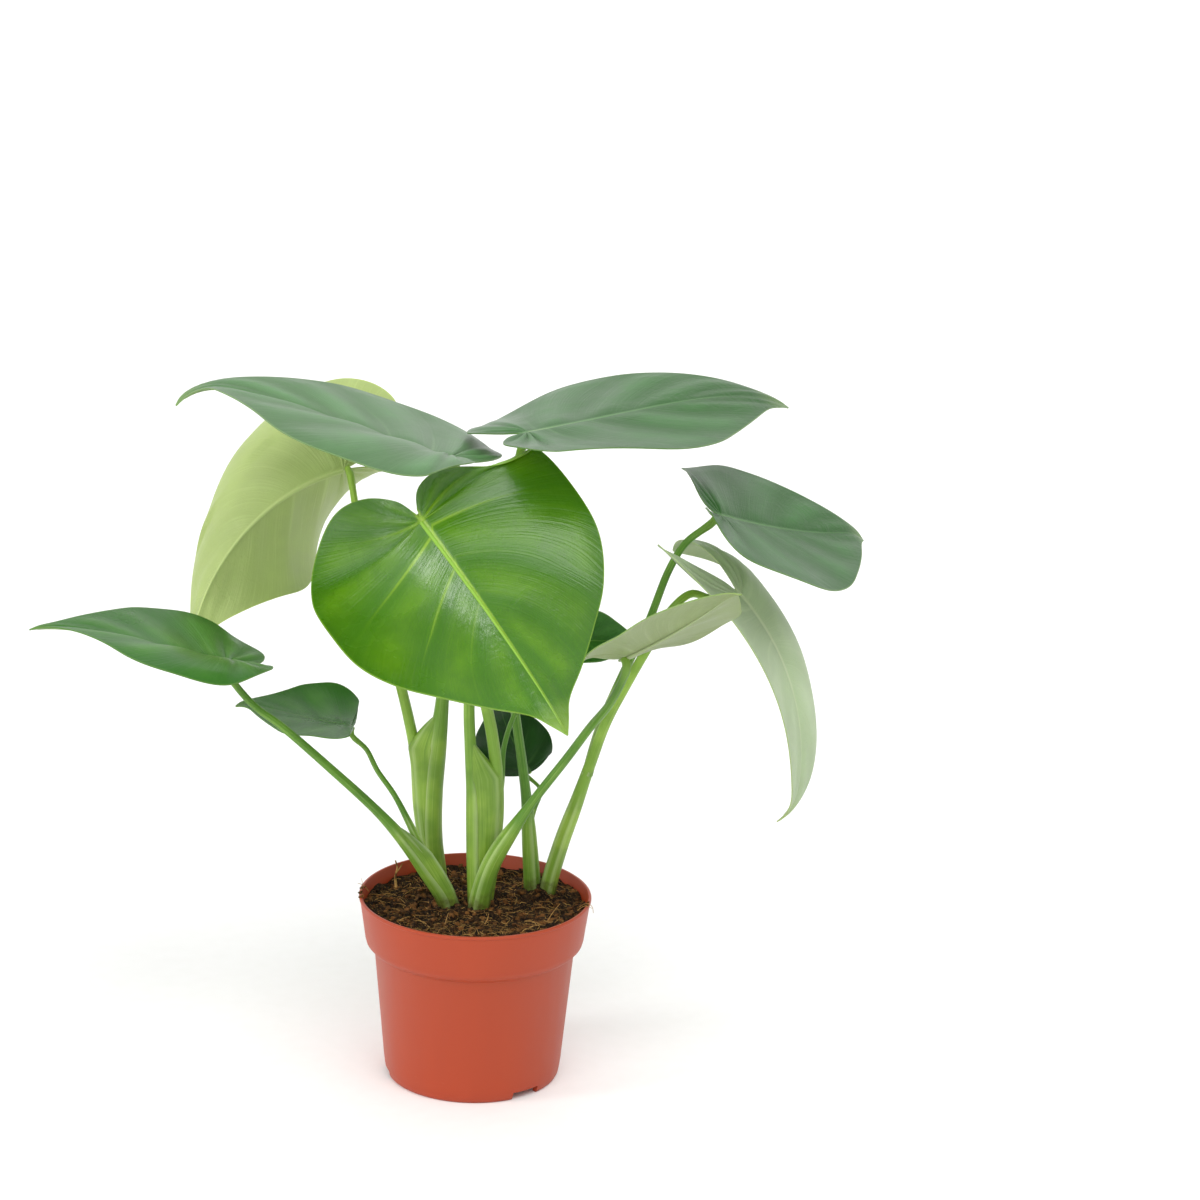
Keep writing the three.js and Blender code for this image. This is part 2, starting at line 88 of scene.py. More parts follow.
# The side veins spread from the joint up to this place on the way round the edge, over this share
# of the midrib, and from there on leave it further and further ahead, by this power.
FAN_END = 0.42
FAN_SHARE = 0.02
VEIN_SPREAD = 1.15

# Half of a blade's outline, from the joint round the lobe to the tip: along the midrib as a
# share of the length, and across as a share of half the width.
HALF_OUTLINE = np.array([
    [-0.02, 0.012], [-0.1, 0.08], [-0.17, 0.25], [-0.19, 0.45], [-0.15, 0.64], [-0.05, 0.86],
    [0.06, 0.98], [0.22, 1], [0.36, 0.95], [0.5, 0.8], [0.63, 0.57], [0.76, 0.34],
    [0.87, 0.15], [0.95, 0.06], [1, 0],
])

# The blades' bearing and bends in degrees, as in the CAD part, except that the lobes of
# leaf_upper_right are a little shorter here. veins is the number of swellings on each half, quilt
# their height in millimetres, and kind the kind of leaf, whose colours for some blades also hold
# painted sheen, light and shade.
BLADES = {
    "leaf_upper_left": dict(
        joint=(-14, -10, 333), heading=167, pitch=14, roll=-18, length=152, width=142,
        droop=24, late=4, lobes=(-20, -30), sway=-5, twist=12, fold=(9, 14),
        curl=(-38, -8), hook=(36, 46), lobe_length=0.55,
        veins=9, quilt=1.1, kind="waxy"),
    "leaf_back_left": dict(
        joint=(-72, 65, 306), heading=199, pitch=-11, roll=-56, length=134, width=130,
        droop=72, late=1, lobes=(19, 19), sway=14, twist=-89, fold=(48, 11),
        curl=(84, 20),
        veins=9, quilt=0.9, kind="young"),
    "leaf_upper_right": dict(
        joint=(19, 5, 344), heading=22, pitch=6, roll=-2, length=158, width=138,
        droop=36, late=4, lobes=(-12, -12), sway=14, twist=-25, fold=(-8, 2),
        curl=(-12, 16), lobe_length=0.6,
        veins=9, quilt=1.1, kind="dark"),
    "leaf_front": dict(
        joint=(-29.8, -44, 313.3), heading=-42, pitch=-37, roll=-6, length=146, width=150,
        droop=-14, late=1, lobes=(-59, -10), sway=-22, twist=39, fold=(34, -74),
        curl=(-16, 70), hook=(29, 23),
        veins=9, quilt=0.7, kind="bright"),
    "leaf_low_left": dict(
        joint=(-124, -30, 230), heading=188, pitch=15, roll=-15, length=102, width=100,
        droop=26, late=4, lobes=(-10, -10), sway=-8, twist=9, fold=(15, 12),
        curl=(-50, 12),
        veins=8, quilt=0.8, kind="deep"),
    "leaf_small_left": dict(
        joint=(-65.1, 18, 181.7), heading=179, pitch=8, roll=-12, length=62, width=77,
        droop=-6, late=1, lobes=(-1, 3), sway=-6, twist=23, fold=(1, -6),
        curl=(-2, 49), hook=(38, 16), lobe_length=0.07,
        veins=7, quilt=0.5, kind="deep"),
    "leaf_small_back": dict(
        joint=(44.5, 40, 223.7), heading=12, pitch=-1, roll=-57, length=40, width=36,
        droop=5, late=1, lobes=(-32, 14), sway=1, twist=12, fold=(35, 23),
        curl=(28, 20),
        veins=7, quilt=0.4, kind="deep"),
    "leaf_small_middle": dict(
        joint=(26.4, 44, 150), heading=147, pitch=52, roll=11, length=53, width=42,
        droop=40, late=1, lobes=(0, 0), sway=-62, twist=3, fold=(-2, 6),
        curl=(-2, -21), hook=(44, 30), sweep=-0.11, lobe_length=0.15,
        veins=7, quilt=0.4, kind="shaded"),
    "leaf_right": dict(
        joint=(118.4, 15, 301.6), heading=23, pitch=-20, roll=-10, length=107, width=119,
        droop=-12, late=1, lobes=(-60, -60), sway=32, twist=-24, fold=(11, 2),
        curl=(-22, -5), hook=(30, 2), lobe_length=0.8,
        veins=8, quilt=0.9, kind="dark"),
    "leaf_right_drooping": dict(
        joint=(129.7, 13, 261.6), heading=-17, pitch=-43, roll=-1, length=135, width=98,
        droop=65, late=1, lobes=(34, -2), sway=-13, twist=16, fold=(27, -10),
        curl=(-88, 40), hook=(31, 8), sweep=0.38, lobe_length=0.42,
        veins=8, quilt=0.7, kind="pale"),
    "leaf_right_pale": dict(
        joint=(72.8, -55, 247.1), heading=-26, pitch=32, roll=5, length=87, width=93,
        droop=-9, late=1, lobes=(18, -43), sway=-26, twist=-5, fold=(1, 22),
        curl=(-13, -30), hook=(29, -1), sweep=-0.05, lobe_length=0.72,
        veins=8, quilt=0.7, kind="soft"),
    "leaf_back_middle": dict(
        joint=(10, 45, 284), heading=80, pitch=-5, roll=0, length=78, width=70,
        droop=25, late=1, lobes=(0, 0), sway=0, twist=0, fold=(10, 10),
        curl=(-15, -15),
        veins=8, quilt=0.6, kind="dark"),
}

# Each clump's stalks, as in the CAD part. opening is the side on which the sheath is open.
CLUMPS = {
    "stalks_front_left": [
        dict(blade="leaf_low_left", in_soil=True, radii=(6.4, 3.6, 2.5, 1.7), sheath=0.34,
             opening=(0.6, -0.9, 0.6),
             path=[(-14, 0, 92), (-26, -4, 113), (-39, -8, 132), (-51, -12, 147), (-74, -18, 171),
                   (-99, -25, 196), (-113, -28, 208)]),
        dict(blade="leaf_small_left", radii=(3, 2, 1.5, 1.2), sheath=0.45,
             opening=(0.5, -0.8, 0.5),
             path=[(-13, 1, 96), (-29, 1, 124), (-36, 4, 137), (-43, 7, 149), (-52, 12, 160),
                   (-58, 16, 170)]),
    ],
    "stalks_back_left": [
        dict(blade="leaf_upper_left", in_soil=True, radii=(5.8, 5.4, 3.4, 2.1), sheath=0.36,
             opening=(-1, -0.4, 0),
             path=[(-21, 28, 92), (-24, 28, 118), (-24, 28, 145), (-20, 28, 191), (-17, 24, 238),
                   (-15, 20, 284), (-14, 19, 306), (-14, 14, 320), (-15, 2, 329)]),
        dict(blade="leaf_back_left", radii=(4.8, 4.4, 3, 1.7), sheath=0.25,
             opening=(1, -0.5, 0),
             path=[(-23, 28, 96), (-29, 29, 130), (-33, 31, 162), (-41, 36, 196), (-51, 44, 226),
                   (-59, 51, 255), (-66, 56, 282)]),
    ],
    "stalks_middle": [
        dict(blade="leaf_upper_right", in_soil=True, radii=(5, 5.2, 3, 2), sheath=0.3,
             opening=(0.7, -0.9, 0),
             path=[(1, 1, 92), (0, 1, 120), (-1, 1, 150), (-4, 1, 179), (-5, 3, 208), (-1, 6, 255),
                   (9, 9, 302)]),
        dict(blade="leaf_front", in_soil=True, radii=(4.4, 4, 3.2, 2.3), sheath=0.3,
             opening=(-0.4, -1, 0),
             path=[(5, 4, 92), (8, 4, 118), (10, 4, 145), (9, 3, 170), (4, 0, 200), (-7, -7, 240),
                   (-18, -19, 275), (-24, -29, 300)]),
        dict(blade="leaf_right_pale", in_soil=True, radii=(6, 4.4, 2.4, 2), sheath=0.33,
             opening=(-0.7, -0.5, 0.6),
             path=[(2, -5, 92), (8, -7, 117), (21, -9, 141), (30, -12, 156), (45, -20, 180),
                   (57, -32, 202), (67, -47, 221)]),
        dict(blade="leaf_small_back", radii=(2, 1.8, 1.4, 1.2), sheath=0.2,
             opening=(0.5, -1, 0),
             path=[(9, 4, 138), (12, 9, 156), (13, 15, 174), (19, 24, 191), (32, 34, 208)]),
    ],
    "stalks_right": [
        dict(blade="leaf_back_middle", in_soil=True, radii=(4.8, 3.9, 2.7, 1.7), sheath=0.26,
             opening=(1, -0.6, 0),
             path=[(29, 22, 92), (27, 23, 118), (25, 25, 141), (22, 28, 162), (18, 32, 187),
                   (14, 37, 224), (11, 41, 260)]),
        dict(blade="leaf_small_middle", radii=(1.6, 1.2, 1, 0.9), sheath=0.3,
             opening=(0.5, -1, 0),
             path=[(26, 24, 124), (29, 30, 134), (32, 38, 142)]),
        dict(blade="leaf_right_drooping", in_soil=True, radii=(4.6, 4, 3, 1.8), sheath=0.3,
             opening=(-0.4, -1, 0.4),
             path=[(37, 21, 92), (43, 20, 118), (51, 17, 144), (58, 13, 168), (65, 8, 191),
                   (75, 5, 213), (85, 3, 233), (97, -1, 256), (106, 5, 262), (117, 14, 257)]),
        dict(blade="leaf_right", radii=(3, 2.6, 2.2, 1.8), sheath=0.3,
             opening=(-0.5, -1, 0.4),
             path=[(56, 14, 160), (62, 16, 184), (73, 17, 214), (85, 17, 242), (95, 17, 271),
                   (103, 15, 286)]),
    ],
}

# The first two stalks of these clumps are wrapped in one sheath up to this height, and the
# sheath narrows to its point over the last stretch.
SHARED_SHEATHS = {"stalks_back_left": 188, "stalks_middle": 183, "stalks_front_left": 141}
SHEATH_POINT = 21

# How light a green each of the younger stalks is, and the others.
YOUNG_STALKS = {"leaf_back_left": 1.0, "leaf_front": 0.8, "leaf_right_drooping": 0.75,
                "leaf_upper_left": 0.5, "leaf_upper_right": 0.45}
OLD_STALK = 0.12

# The large side veins: where each leaves the midrib, as a place on the way round the edge, and
# how strong it is on the left half and on the right one. In front of the joint they lean forward.
LARGE_VEINS = ((0.26, 0.5, 0.5), (0.448, 0.65, 1.0), (0.545, 0.1, 0.65), (0.64, 0.1, 0.2))
VEIN_LEAN = 0.11
RIGHT_SHIFT = 0.025

# What the eye sees of each kind of leaf: the green of both faces, with the lighter green of the
# veins, of the midrib and of the edge, and the lighter green of the swellings between the veins,
# which is painted sheen. Then how matt and how mirror-like the upper face is, and how clearly its
# fine lines and its large veins show.
LEAF_KINDS = {
    "dark": dict(upper="#2f5e26", swelling="#41723a", vein="#588450", rib="#66905a", edge="#6f9048",
                 under="#8aa274", under_vein="#a8bc8c", roughness=0.34, shine=0.5, lines=0.14, veins=0.25),
    # The waxy kind's upper greens are lighter and greyer than the dark kind's: partly the leaf's own green,
    # partly painted sheen.
    "waxy": dict(upper="#4a7242", swelling="#5e8a58", vein="#6f9666", rib="#80a270", edge="#7c9a58",
                 under="#8aa274", under_vein="#a8bc8c", roughness=0.36, shine=0.55, lines=0.14, veins=0.25),
    "deep": dict(upper="#346a22", swelling="#4a8030", vein="#527f3a", rib="#6f9a48", edge="#5f8438",
                 under="#7f9c66", under_vein="#a8bc88", roughness=0.3, shine=0.32, lines=0.1, veins=0.2),
    "shaded": dict(upper="#12380a", swelling="#1a4610", vein="#33602a", rib="#4a7434", edge="#3c6424",
                   under="#7f9c66", under_vein="#a8bc88", roughness=0.3, shine=0.25, lines=0.1, veins=0.2),
    "bright": dict(upper="#3a6e00", swelling="#568600", vein="#7eae1c", rib="#92b62c", edge="#84a830",
                   under="#86b04a", under_vein="#84b424", roughness=0.24, shine=0.62, lines=0.06, veins=0.7),
    # The young kind's light yellow-green is partly the young leaf's own and partly painted light shining
    # through it from behind.
    "young": dict(upper="#94ac5c", swelling="#a2b86a", vein="#b0c474", rib="#b8cc7c", edge="#b0c264",
                  under="#a4b66e", under_vein="#bacb84", roughness=0.4, shine=0.45, lines=0.22, veins=0.5),
    # The pale kind's pale grey-green upper face is partly the leaf's own and partly painted sheen.
    "pale": dict(upper="#a6b892", swelling="#b2c2a0", vein="#b8c6a0", rib="#c4d0ac", edge="#98ac64",
                 under="#9cae84", under_vein="#b8c6a0", roughness=0.45, shine=0.3, lines=0.25, veins=0.3),
    "soft": dict(upper="#6a8a4c", swelling="#7d9a5e", vein="#a0b47c", rib="#b0c090", edge="#869c54",
                 under="#8a9a68", under_vein="#a4b284", roughness=0.45, shine=0.4, lines=0.3, veins=0.35),
}


# Small tools.

def linear(colour):
    """An sRGB hex colour as linear RGBA."""
    parts = [int(colour[i:i + 2], 16) / 255 for i in (1, 3, 5)]
    return [c / 12.92 if c <= 0.04045 else ((c + 0.055) / 1.055) ** 2.4 for c in parts] + [1.0]


def clear_selection():
    if bpy.context.object and bpy.context.object.mode != "OBJECT":
        bpy.ops.object.mode_set(mode="OBJECT")
    bpy.ops.object.select_all(action="DESELECT")


def pick(obj):
    clear_selection()
    obj.select_set(True)
    bpy.context.view_layer.objects.active = obj


def join(pieces, name):
    """Joins the pieces into the first one."""
    clear_selection()
    for one in pieces:
        one.select_set(True)
    bpy.context.view_layer.objects.active = pieces[0]
    if len(pieces) > 1:
        bpy.ops.object.join()
    pieces[0].name = name
    pieces[0].data.name = name
    return pieces[0]


def settle(obj):
    """Puts the object's place into its mesh, so that the object itself is at the origin."""
    pick(obj)
    bpy.ops.object.transform_apply(location=True, rotation=True, scale=True)


def smooth(obj, degrees):
    """Rounds the shading, except at edges sharper than this."""
    pick(obj)
    bpy.ops.object.shade_smooth_by_angle(angle=math.radians(degrees))


def start_edit(obj):
    """Edit mode, with the whole mesh selected."""
    pick(obj)
    bpy.ops.object.mode_set(mode="EDIT")
    bpy.ops.mesh.select_all(action="SELECT")


def face_outwards():
    """Leaves edit mode with all the mesh's faces pointing outwards."""
    bpy.ops.mesh.select_all(action="SELECT")
    bpy.ops.mesh.normals_make_consistent(inside=False)
    bpy.ops.object.mode_set(mode="OBJECT")


def apply_modifier(obj, kind, **settings):
    """Adds a modifier with its settings and applies it."""
    pick(obj)
    modifier = obj.modifiers.new(kind.lower(), kind)
    for key, value in settings.items():
        setattr(modifier, key, value)
    bpy.ops.object.modifier_apply(modifier=modifier.name)


def sheet(name, columns, rows):
    """A flat grid of faces, and the column and row of each of its corners."""
    clear_selection()
    bpy.ops.mesh.primitive_grid_add(x_subdivisions=columns, y_subdivisions=rows, size=2)
    obj = bpy.context.object
    obj.name = name
    flat = np.empty(len(obj.data.vertices) * 3)
    obj.data.vertices.foreach_get("co", flat)
    flat = flat.reshape(-1, 3)
    column = np.rint((flat[:, 0] + 1) / 2 * columns).astype(int)
    row = np.rint((flat[:, 1] + 1) / 2 * rows).astype(int)
    return obj, column, row


def place_points(obj, points):
    """Moves the mesh's corners to these points, in millimetres."""
    obj.data.vertices.foreach_set("co", (np.asarray(points) * MM).astype(np.float32).ravel())
    obj.data.update()


def add_values(obj, **values):
    """Numbers for each corner, or one for all of them, which a material reads by their names."""
    for name, numbers in values.items():
        layer = obj.data.attributes.new(name, "FLOAT", "POINT")
        numbers = np.broadcast_to(np.asarray(numbers, dtype=np.float32), len(obj.data.vertices))
        layer.data.foreach_set("value", np.ascontiguousarray(numbers))


def unit(vectors):
    return vectors / np.maximum(np.linalg.norm(vectors, axis=-1, keepdims=True), 1e-12)


# Materials.

SMOOTH = {"interpolation_type": "SMOOTHSTEP"}
MULTIPLY = {"operation": "MULTIPLY"}
MULTIPLY_ADD = {"operation": "MULTIPLY_ADD"}
COLOURS = {"data_type": "RGBA"}


def set_inputs(owner, node, inputs):
    """Gives a node's inputs, by name or number, their values or links them to other nodes."""
    for key, value in inputs.items():
        if isinstance(value, bpy.types.NodeSocket):
            owner.node_tree.links.new(value, node.inputs[key])
        else:
            node.inputs[key].default_value = value


def add_node(owner, kind, inputs=(), output=0, **settings):
    """Adds a shader node, with its settings and its inputs, by name or number or in order, to a
    material or a world, and gives back one of its outputs."""
    node = owner.node_tree.nodes.new("ShaderNode" + kind)
    for key, value in settings.items():
        setattr(node, key, value)
    set_inputs(owner, node, inputs if isinstance(inputs, dict) else dict(enumerate(inputs)))
    return node.outputs[output]


def new_material(name):
    """A material, its surface, and a short way of adding nodes to it."""
    material = bpy.data.materials.new(name)
    material.use_nodes = True
    return material, material.node_tree.nodes["Principled BSDF"], partial(add_node, material)


def per_metre(size):
    """The scale of a pattern whose marks are this many millimetres apart."""
    return 1 / (size * MM)


# The fine veins' spacing and the length of a stretch of them, in millimetres, and what they are
# measured against: the edge of a large leaf's half, and the width of that half.
FINE_VEIN_SPACING = 0.9
FINE_VEIN_LENGTH = 45
HALF_EDGE = 189
HALF_WIDTH = 72


def leaf_face(kind, upper_side):
    """Living leaf: a waxy skin over green tissue. The upper face is darker and glossier, the
    lower one pale and matt; the veins are paler on both and the edge is a thin yellow line. The
    swellings of the upper face are painted lighter, a painted sheen."""
    look = LEAF_KINDS[kind]
    name = f"{kind}_leaf_upper_face" if upper_side else f"{kind}_leaf_lower_face"
    if name in bpy.data.materials:
        return bpy.data.materials[name]
    material, skin, add = new_material(name)
    where = add("TexCoord", output="Object")
    lay, span, out, rib, rib_width, edge, swelling, left_half, tip = (
        add("Attribute", output="Fac", attribute_name=value) for value in RIB_VALUES)
    ground = linear(look["upper"] if upper_side else look["under"])
    # On the upper face the swellings get a lighter green, a painted sheen; below, they keep the face's own
    # green.
    raised = linear(look["swelling"]) if upper_side else ground
    vein_colour = linear(look["vein"] if upper_side else look["under_vein"])
    rib_colour = linear(look["rib"] if upper_side else look["under_vein"])
    edge_colour = linear(look["edge"])
    dark = [c * 0.7 for c in ground[:3]] + [1.0]
    # Patches 38.5 mm across, and the mottle of the cells, which are too fine to show and so are
    # drawn 1.11 mm across.
    patches = add("TexNoise", {"Vector": where, "Scale": per_metre(38.5), "Detail": 4, "Roughness": 0.6})
    cells = add("TexNoise", {"Vector": where, "Scale": per_metre(1.11), "Detail": 2, "Roughness": 0.6})
    uneven = add("MapRange", (patches, 0.3, 0.7, 0.4, 1.0), **SMOOTH)
    # Fine veins run with the large ones, so their pattern is long across the blade.
    lines_at = add("CombineXYZ", (add("Math", (lay, HALF_EDGE / FINE_VEIN_SPACING), **MULTIPLY),
                                  add("Math", (out, HALF_WIDTH / FINE_VEIN_LENGTH), **MULTIPLY)))
    lines = add("TexNoise", {
        "Vector": lines_at, "Scale": 1.0, "Detail": 3, "Roughness": 0.6, "Distortion": 0.2})
    layers = [
        (add("Math", (swelling, uneven), **MULTIPLY), raised),
        (add("MapRange", (patches, 0.62, 0.35, 0, 0.3), **SMOOTH), dark),
        (add("MapRange", (cells, 0.55, 0.75, 0, 0.1), **SMOOTH), dark),
        (add("MapRange", (lines, 0.48, 0.72, 0, look["lines"]), **SMOOTH), vein_colour),
    ]
    # The large veins fade and thin towards the edge, and each has a broad paler glow.
    fade = add("MapRange", (out, 0.85, 0.05), **SMOOTH)
    width = add("Math", (fade, 0.9, 0.3), **MULTIPLY_ADD)
    for start, left, right in LARGE_VEINS:
        away = lay
        for operation, number in (
                ("SUBTRACT", start), ("ABSOLUTE", 0), ("MULTIPLY", span), ("DIVIDE", width)):
            away = add("Math", (away, number), operation=operation)
        share = add("Math", (left_half, left - right, right), **MULTIPLY_ADD)
        for number in (fade, look["veins"]):
            share = add("Math", (share, number), **MULTIPLY)
        for reach, core, most, tint in ((4.0, 0.5, 0.3, vein_colour), (1.0, 0.25, 1.0, rib_colour)):
            near = add("MapRange", (away, reach, core, 0, most), **SMOOTH)
            layers.append((add("Math", (near, share), **MULTIPLY), tint))
    rib_near = add("MapRange", (add("Math", (rib, rib_width), operation="DIVIDE"), 1.3, 0.3), **SMOOTH)
    rib_strength = add("MapRange", (rib_width, 0.35, 1.5, 0.4, 0.8), **SMOOTH)
    layers += [
        (add("Math", (rib_near, rib_strength), **MULTIPLY), rib_colour),
        (add("MapRange", (edge, 0.8, 0.25, 0, 0.5), **SMOOTH), edge_colour),
        (add("Math", (tip, 0.7), **MULTIPLY), edge_colour),
    ]
    colour = ground
    for share, tint in layers:
        colour = add("Mix", {0: share, 6: colour, 7: tint}, 2, **COLOURS)
    # The blade is crinkled towards its tip, in folds of 7.7 mm.
    folds = add("TexNoise", {
        "Vector": where, "Scale": per_metre(7.7), "Detail": 2, "Distortion": 1.2})
    crinkle = add("Math", (folds, add("MapRange", (lay, 0.55, 0.85, 0.15, 1.0), **SMOOTH)), **MULTIPLY)
    height = add("Math", (cells, 0.15, add("Math", (lines, 0.8), **MULTIPLY)), **MULTIPLY_ADD)
    height = add("Math", (crinkle, 2.2, height), **MULTIPLY_ADD)
    matt = look["roughness"] if upper_side else 0.5
    set_inputs(material, skin, {
        "Base Color": colour,
        "Roughness": add("MapRange", (patches, 0.3, 0.7, matt - 0.04, matt + 0.08), **SMOOTH),
        "IOR": 1.45,
        "Specular IOR Level": look["shine"],
        "Subsurface Weight": 0.1,
        "Subsurface Radius": (0.002, 0.003, 0.001),
        "Subsurface Scale": 0.6,
        "Normal": add("Bump", {"Height": height, "Strength": 0.5, "Distance": 0.6 * MM}),
    })
    return material


# The width and the length of the ribs on a leaf stalk, in millimetres, and what they are measured
# against: a long stalk's girth and its length.
STALK_RIB_WIDTH = 0.5
STALK_RIB_LENGTH = 80
STALK_GIRTH = 30
STALK_LENGTH = 240


def stalk_skin(settings):
    """Leaf stalk: smooth, fleshy and faintly ribbed lengthwise, paler in its sheath, whose
    papery margins are almost white, and yellow-green where it meets the blade."""
    material, skin, add = new_material("fleshy_leaf_stalk")
    where = add("TexCoord", output="Object")
    round_and_along = add("TexCoord", output="UV")
    light, sheath, margin, joint = (
        add("Attribute", output="Fac", attribute_name=value)
        for value in ("light_green", "sheath", "margin", "joint"))
    ribs_at = add("Mapping", {"Vector": round_and_along, "Scale": (
        STALK_GIRTH / STALK_RIB_WIDTH, STALK_LENGTH / STALK_RIB_LENGTH, 0)})
    ribs = add("TexNoise", {"Vector": ribs_at, "Scale": 1.0, "Detail": 3, "Roughness": 0.55})
    # Patches 25 mm across. The feet are dirty, with crumbs of 3.85 mm that end 82 to 95 mm up.
    patches = add("TexNoise", {"Vector": where, "Scale": per_metre(25), "Detail": 3})
    crumbs = add("TexNoise", {"Vector": where, "Scale": per_metre(3.85), "Detail": 3, "Roughness": 0.6})
    dirt = add("Math", (crumbs, -16 * MM, add("SeparateXYZ", (where,), 2)), **MULTIPLY_ADD)
    colour = list(settings.old_green)
    for share, tint in (
            (light, list(settings.young_green)),
            (add("Math", (sheath, 0.5), **MULTIPLY), linear("#92b040")),
            (add("MapRange", (ribs, 0.5, 0.66, 0, 0.35), **SMOOTH), linear("#b4cc70")),
            (add("MapRange", (ribs, 0.45, 0.3, 0, 0.4), **SMOOTH), linear("#3a6a12")),
            (add("MapRange", (patches, 0.6, 0.4, 0, 0.35), **SMOOTH), linear("#2f6410")),
            (add("Math", (margin, 0.6), **MULTIPLY), linear("#c0d298")),
            (add("Math", (joint, 0.6), **MULTIPLY), linear("#8cb040")),
            (add("MapRange", (dirt, 95 * MM, 82 * MM, 0, 0.85), **SMOOTH), linear("#3c2a12"))):
        colour = add("Mix", {0: share, 6: colour, 7: tint}, 2, **COLOURS)
    set_inputs(material, skin, {
        "Base Color": colour,
        "Roughness": add("MapRange", (ribs, 0.3, 0.7, 0.36, 0.5), **SMOOTH),
        "IOR": 1.42,
        "Subsurface Weight": 0.15,
        "Subsurface Radius": (0.003, 0.004, 0.0015),
        "Subsurface Scale": 0.6,
        "Normal": add("Bump", {"Height": ribs, "Strength": 0.5, "Distance": 0.4 * MM}),
    })
    return material


def pot_plastic(settings):
    """Polypropylene, injection-moulded and terracotta-coloured: an even satin skin with faint
    flow marks down the wall, and a few pale scuffs low down."""
    material, skin, add = new_material("terracotta_polypropylene")
    where = add("TexCoord", output="Object")
    # Flow marks 16.7 mm apart and eight times as long, and scuffs 3.85 mm wide and half as high
    # that end 40 mm up. The moulded grain is too fine to show and is drawn at 0.455 mm.
    flow_at = add("Mapping", {"Vector": where, "Scale": (1, 1, 0.12)})
    flow = add("TexNoise", {"Vector": flow_at, "Scale": per_metre(16.7), "Detail": 3})
    grain = add("TexNoise", {"Vector": where, "Scale": per_metre(0.455), "Detail": 2, "Roughness": 0.6})
    scuffs_at = add("Mapping", {"Vector": where, "Scale": (1, 1, 2.2)})
    scuffs = add("TexNoise", {
        "Vector": scuffs_at, "Scale": per_metre(3.85), "Detail": 5, "Roughness": 0.7, "Distortion": 0.6})
    low_down = add("MapRange", (add("SeparateXYZ", (where,), 2), 40 * MM, 12 * MM), **SMOOTH)
    scuffed = add("MapRange", (scuffs, 0.68, 0.74, 0, 0.5), **SMOOTH)
    colour = list(settings.colour)
    for share, tint in (
            (flow, list(settings.flow_colour)),
            (add("Math", (scuffed, low_down), **MULTIPLY), linear("#c8785a"))):
        colour = add("Mix", {0: share, 6: colour, 7: tint}, 2, **COLOURS)
    height = add("Math", (flow, 0.6, grain), **MULTIPLY_ADD)
    set_inputs(material, skin, {
        "Base Color": colour,
        "Roughness": add("MapRange", (flow, 0.3, 0.7, 0.4, 0.48), **SMOOTH),
        "IOR": 1.49,
        "Normal": add("Bump", {"Height": height, "Strength": 0.12, "Distance": 0.3 * MM}),
    })
    return material


def peat(name, dark, light):
    """Peat and coconut dust: crumbly, matt and almost black where it is moist, brown where its
    fibres have dried."""
    material, skin, add = new_material(name)
    where = add("TexCoord", output="Object")
    shade = add("Attribute", output="Fac", attribute_name="shade")
    # Lumps of 5.9 mm and grit of 1.11 mm.
    lumps = add("TexNoise", {"Vector": where, "Scale": per_metre(5.9), "Detail": 4, "Roughness": 0.6})
    grit = add("TexNoise", {"Vector": where, "Scale": per_metre(1.11), "Detail": 4, "Roughness": 0.7})
    colour = linear(dark)
    for share, tint in (
            (add("MapRange", (lumps, 0.4, 0.65), **SMOOTH), linear(light)),
            (add("MapRange", (grit, 0.5, 0.75, 0, 0.7), **SMOOTH), linear("#8a6a45")),
            (add("Math", (shade, 0.8), **MULTIPLY), linear(light))):
        colour = add("Mix", {0: share, 6: colour, 7: tint}, 2, **COLOURS)
    set_inputs(material, skin, {
        "Base Color": colour,
        "Roughness": 0.95,
        "Specular IOR Level": 0.2,
        "Normal": add("Bump", {"Height": grit, "Strength": 1.0, "Distance": 0.9 * MM}),
    })
    return material


def floor_paint():
    """Matt white paint, rolled on a studio floor, so even that its grain of 8.3 mm hardly shows."""
    material, skin, add = new_material("matt_white_floor_paint")
    where = add("TexCoord", output="Object")
    grain = add("TexNoise", {"Vector": where, "Scale": per_metre(8.3), "Detail": 2})
    set_inputs(material, skin, {
        "Base Color": add("Mix", {0: grain, 6: linear("#f6f6f5"), 7: linear("#fafafa")}, 2, **COLOURS),
        "Roughness": 0.9,
    })
    return material


# Curves.

def outline_points(t):
    """The half outline at t from 0 to 1, on a smooth curve through its points."""
    last = len(HALF_OUTLINE) - 1
    place = np.clip(t, 0, 1) * last
    low = np.minimum(np.floor(place).astype(int), last - 1)
    part = (place - low)[..., None]
    before = HALF_OUTLINE[np.maximum(low - 1, 0)]
    first = HALF_OUTLINE[low]
    second = HALF_OUTLINE[low + 1]
    after = HALF_OUTLINE[np.minimum(low + 2, last)]
    start = (second - before) / 2
    end = (after - first) / 2
    return ((2 * first - 2 * second + start + end) * part ** 3
            + (-3 * first + 3 * second - 2 * start - end) * part ** 2 + start * part + first)


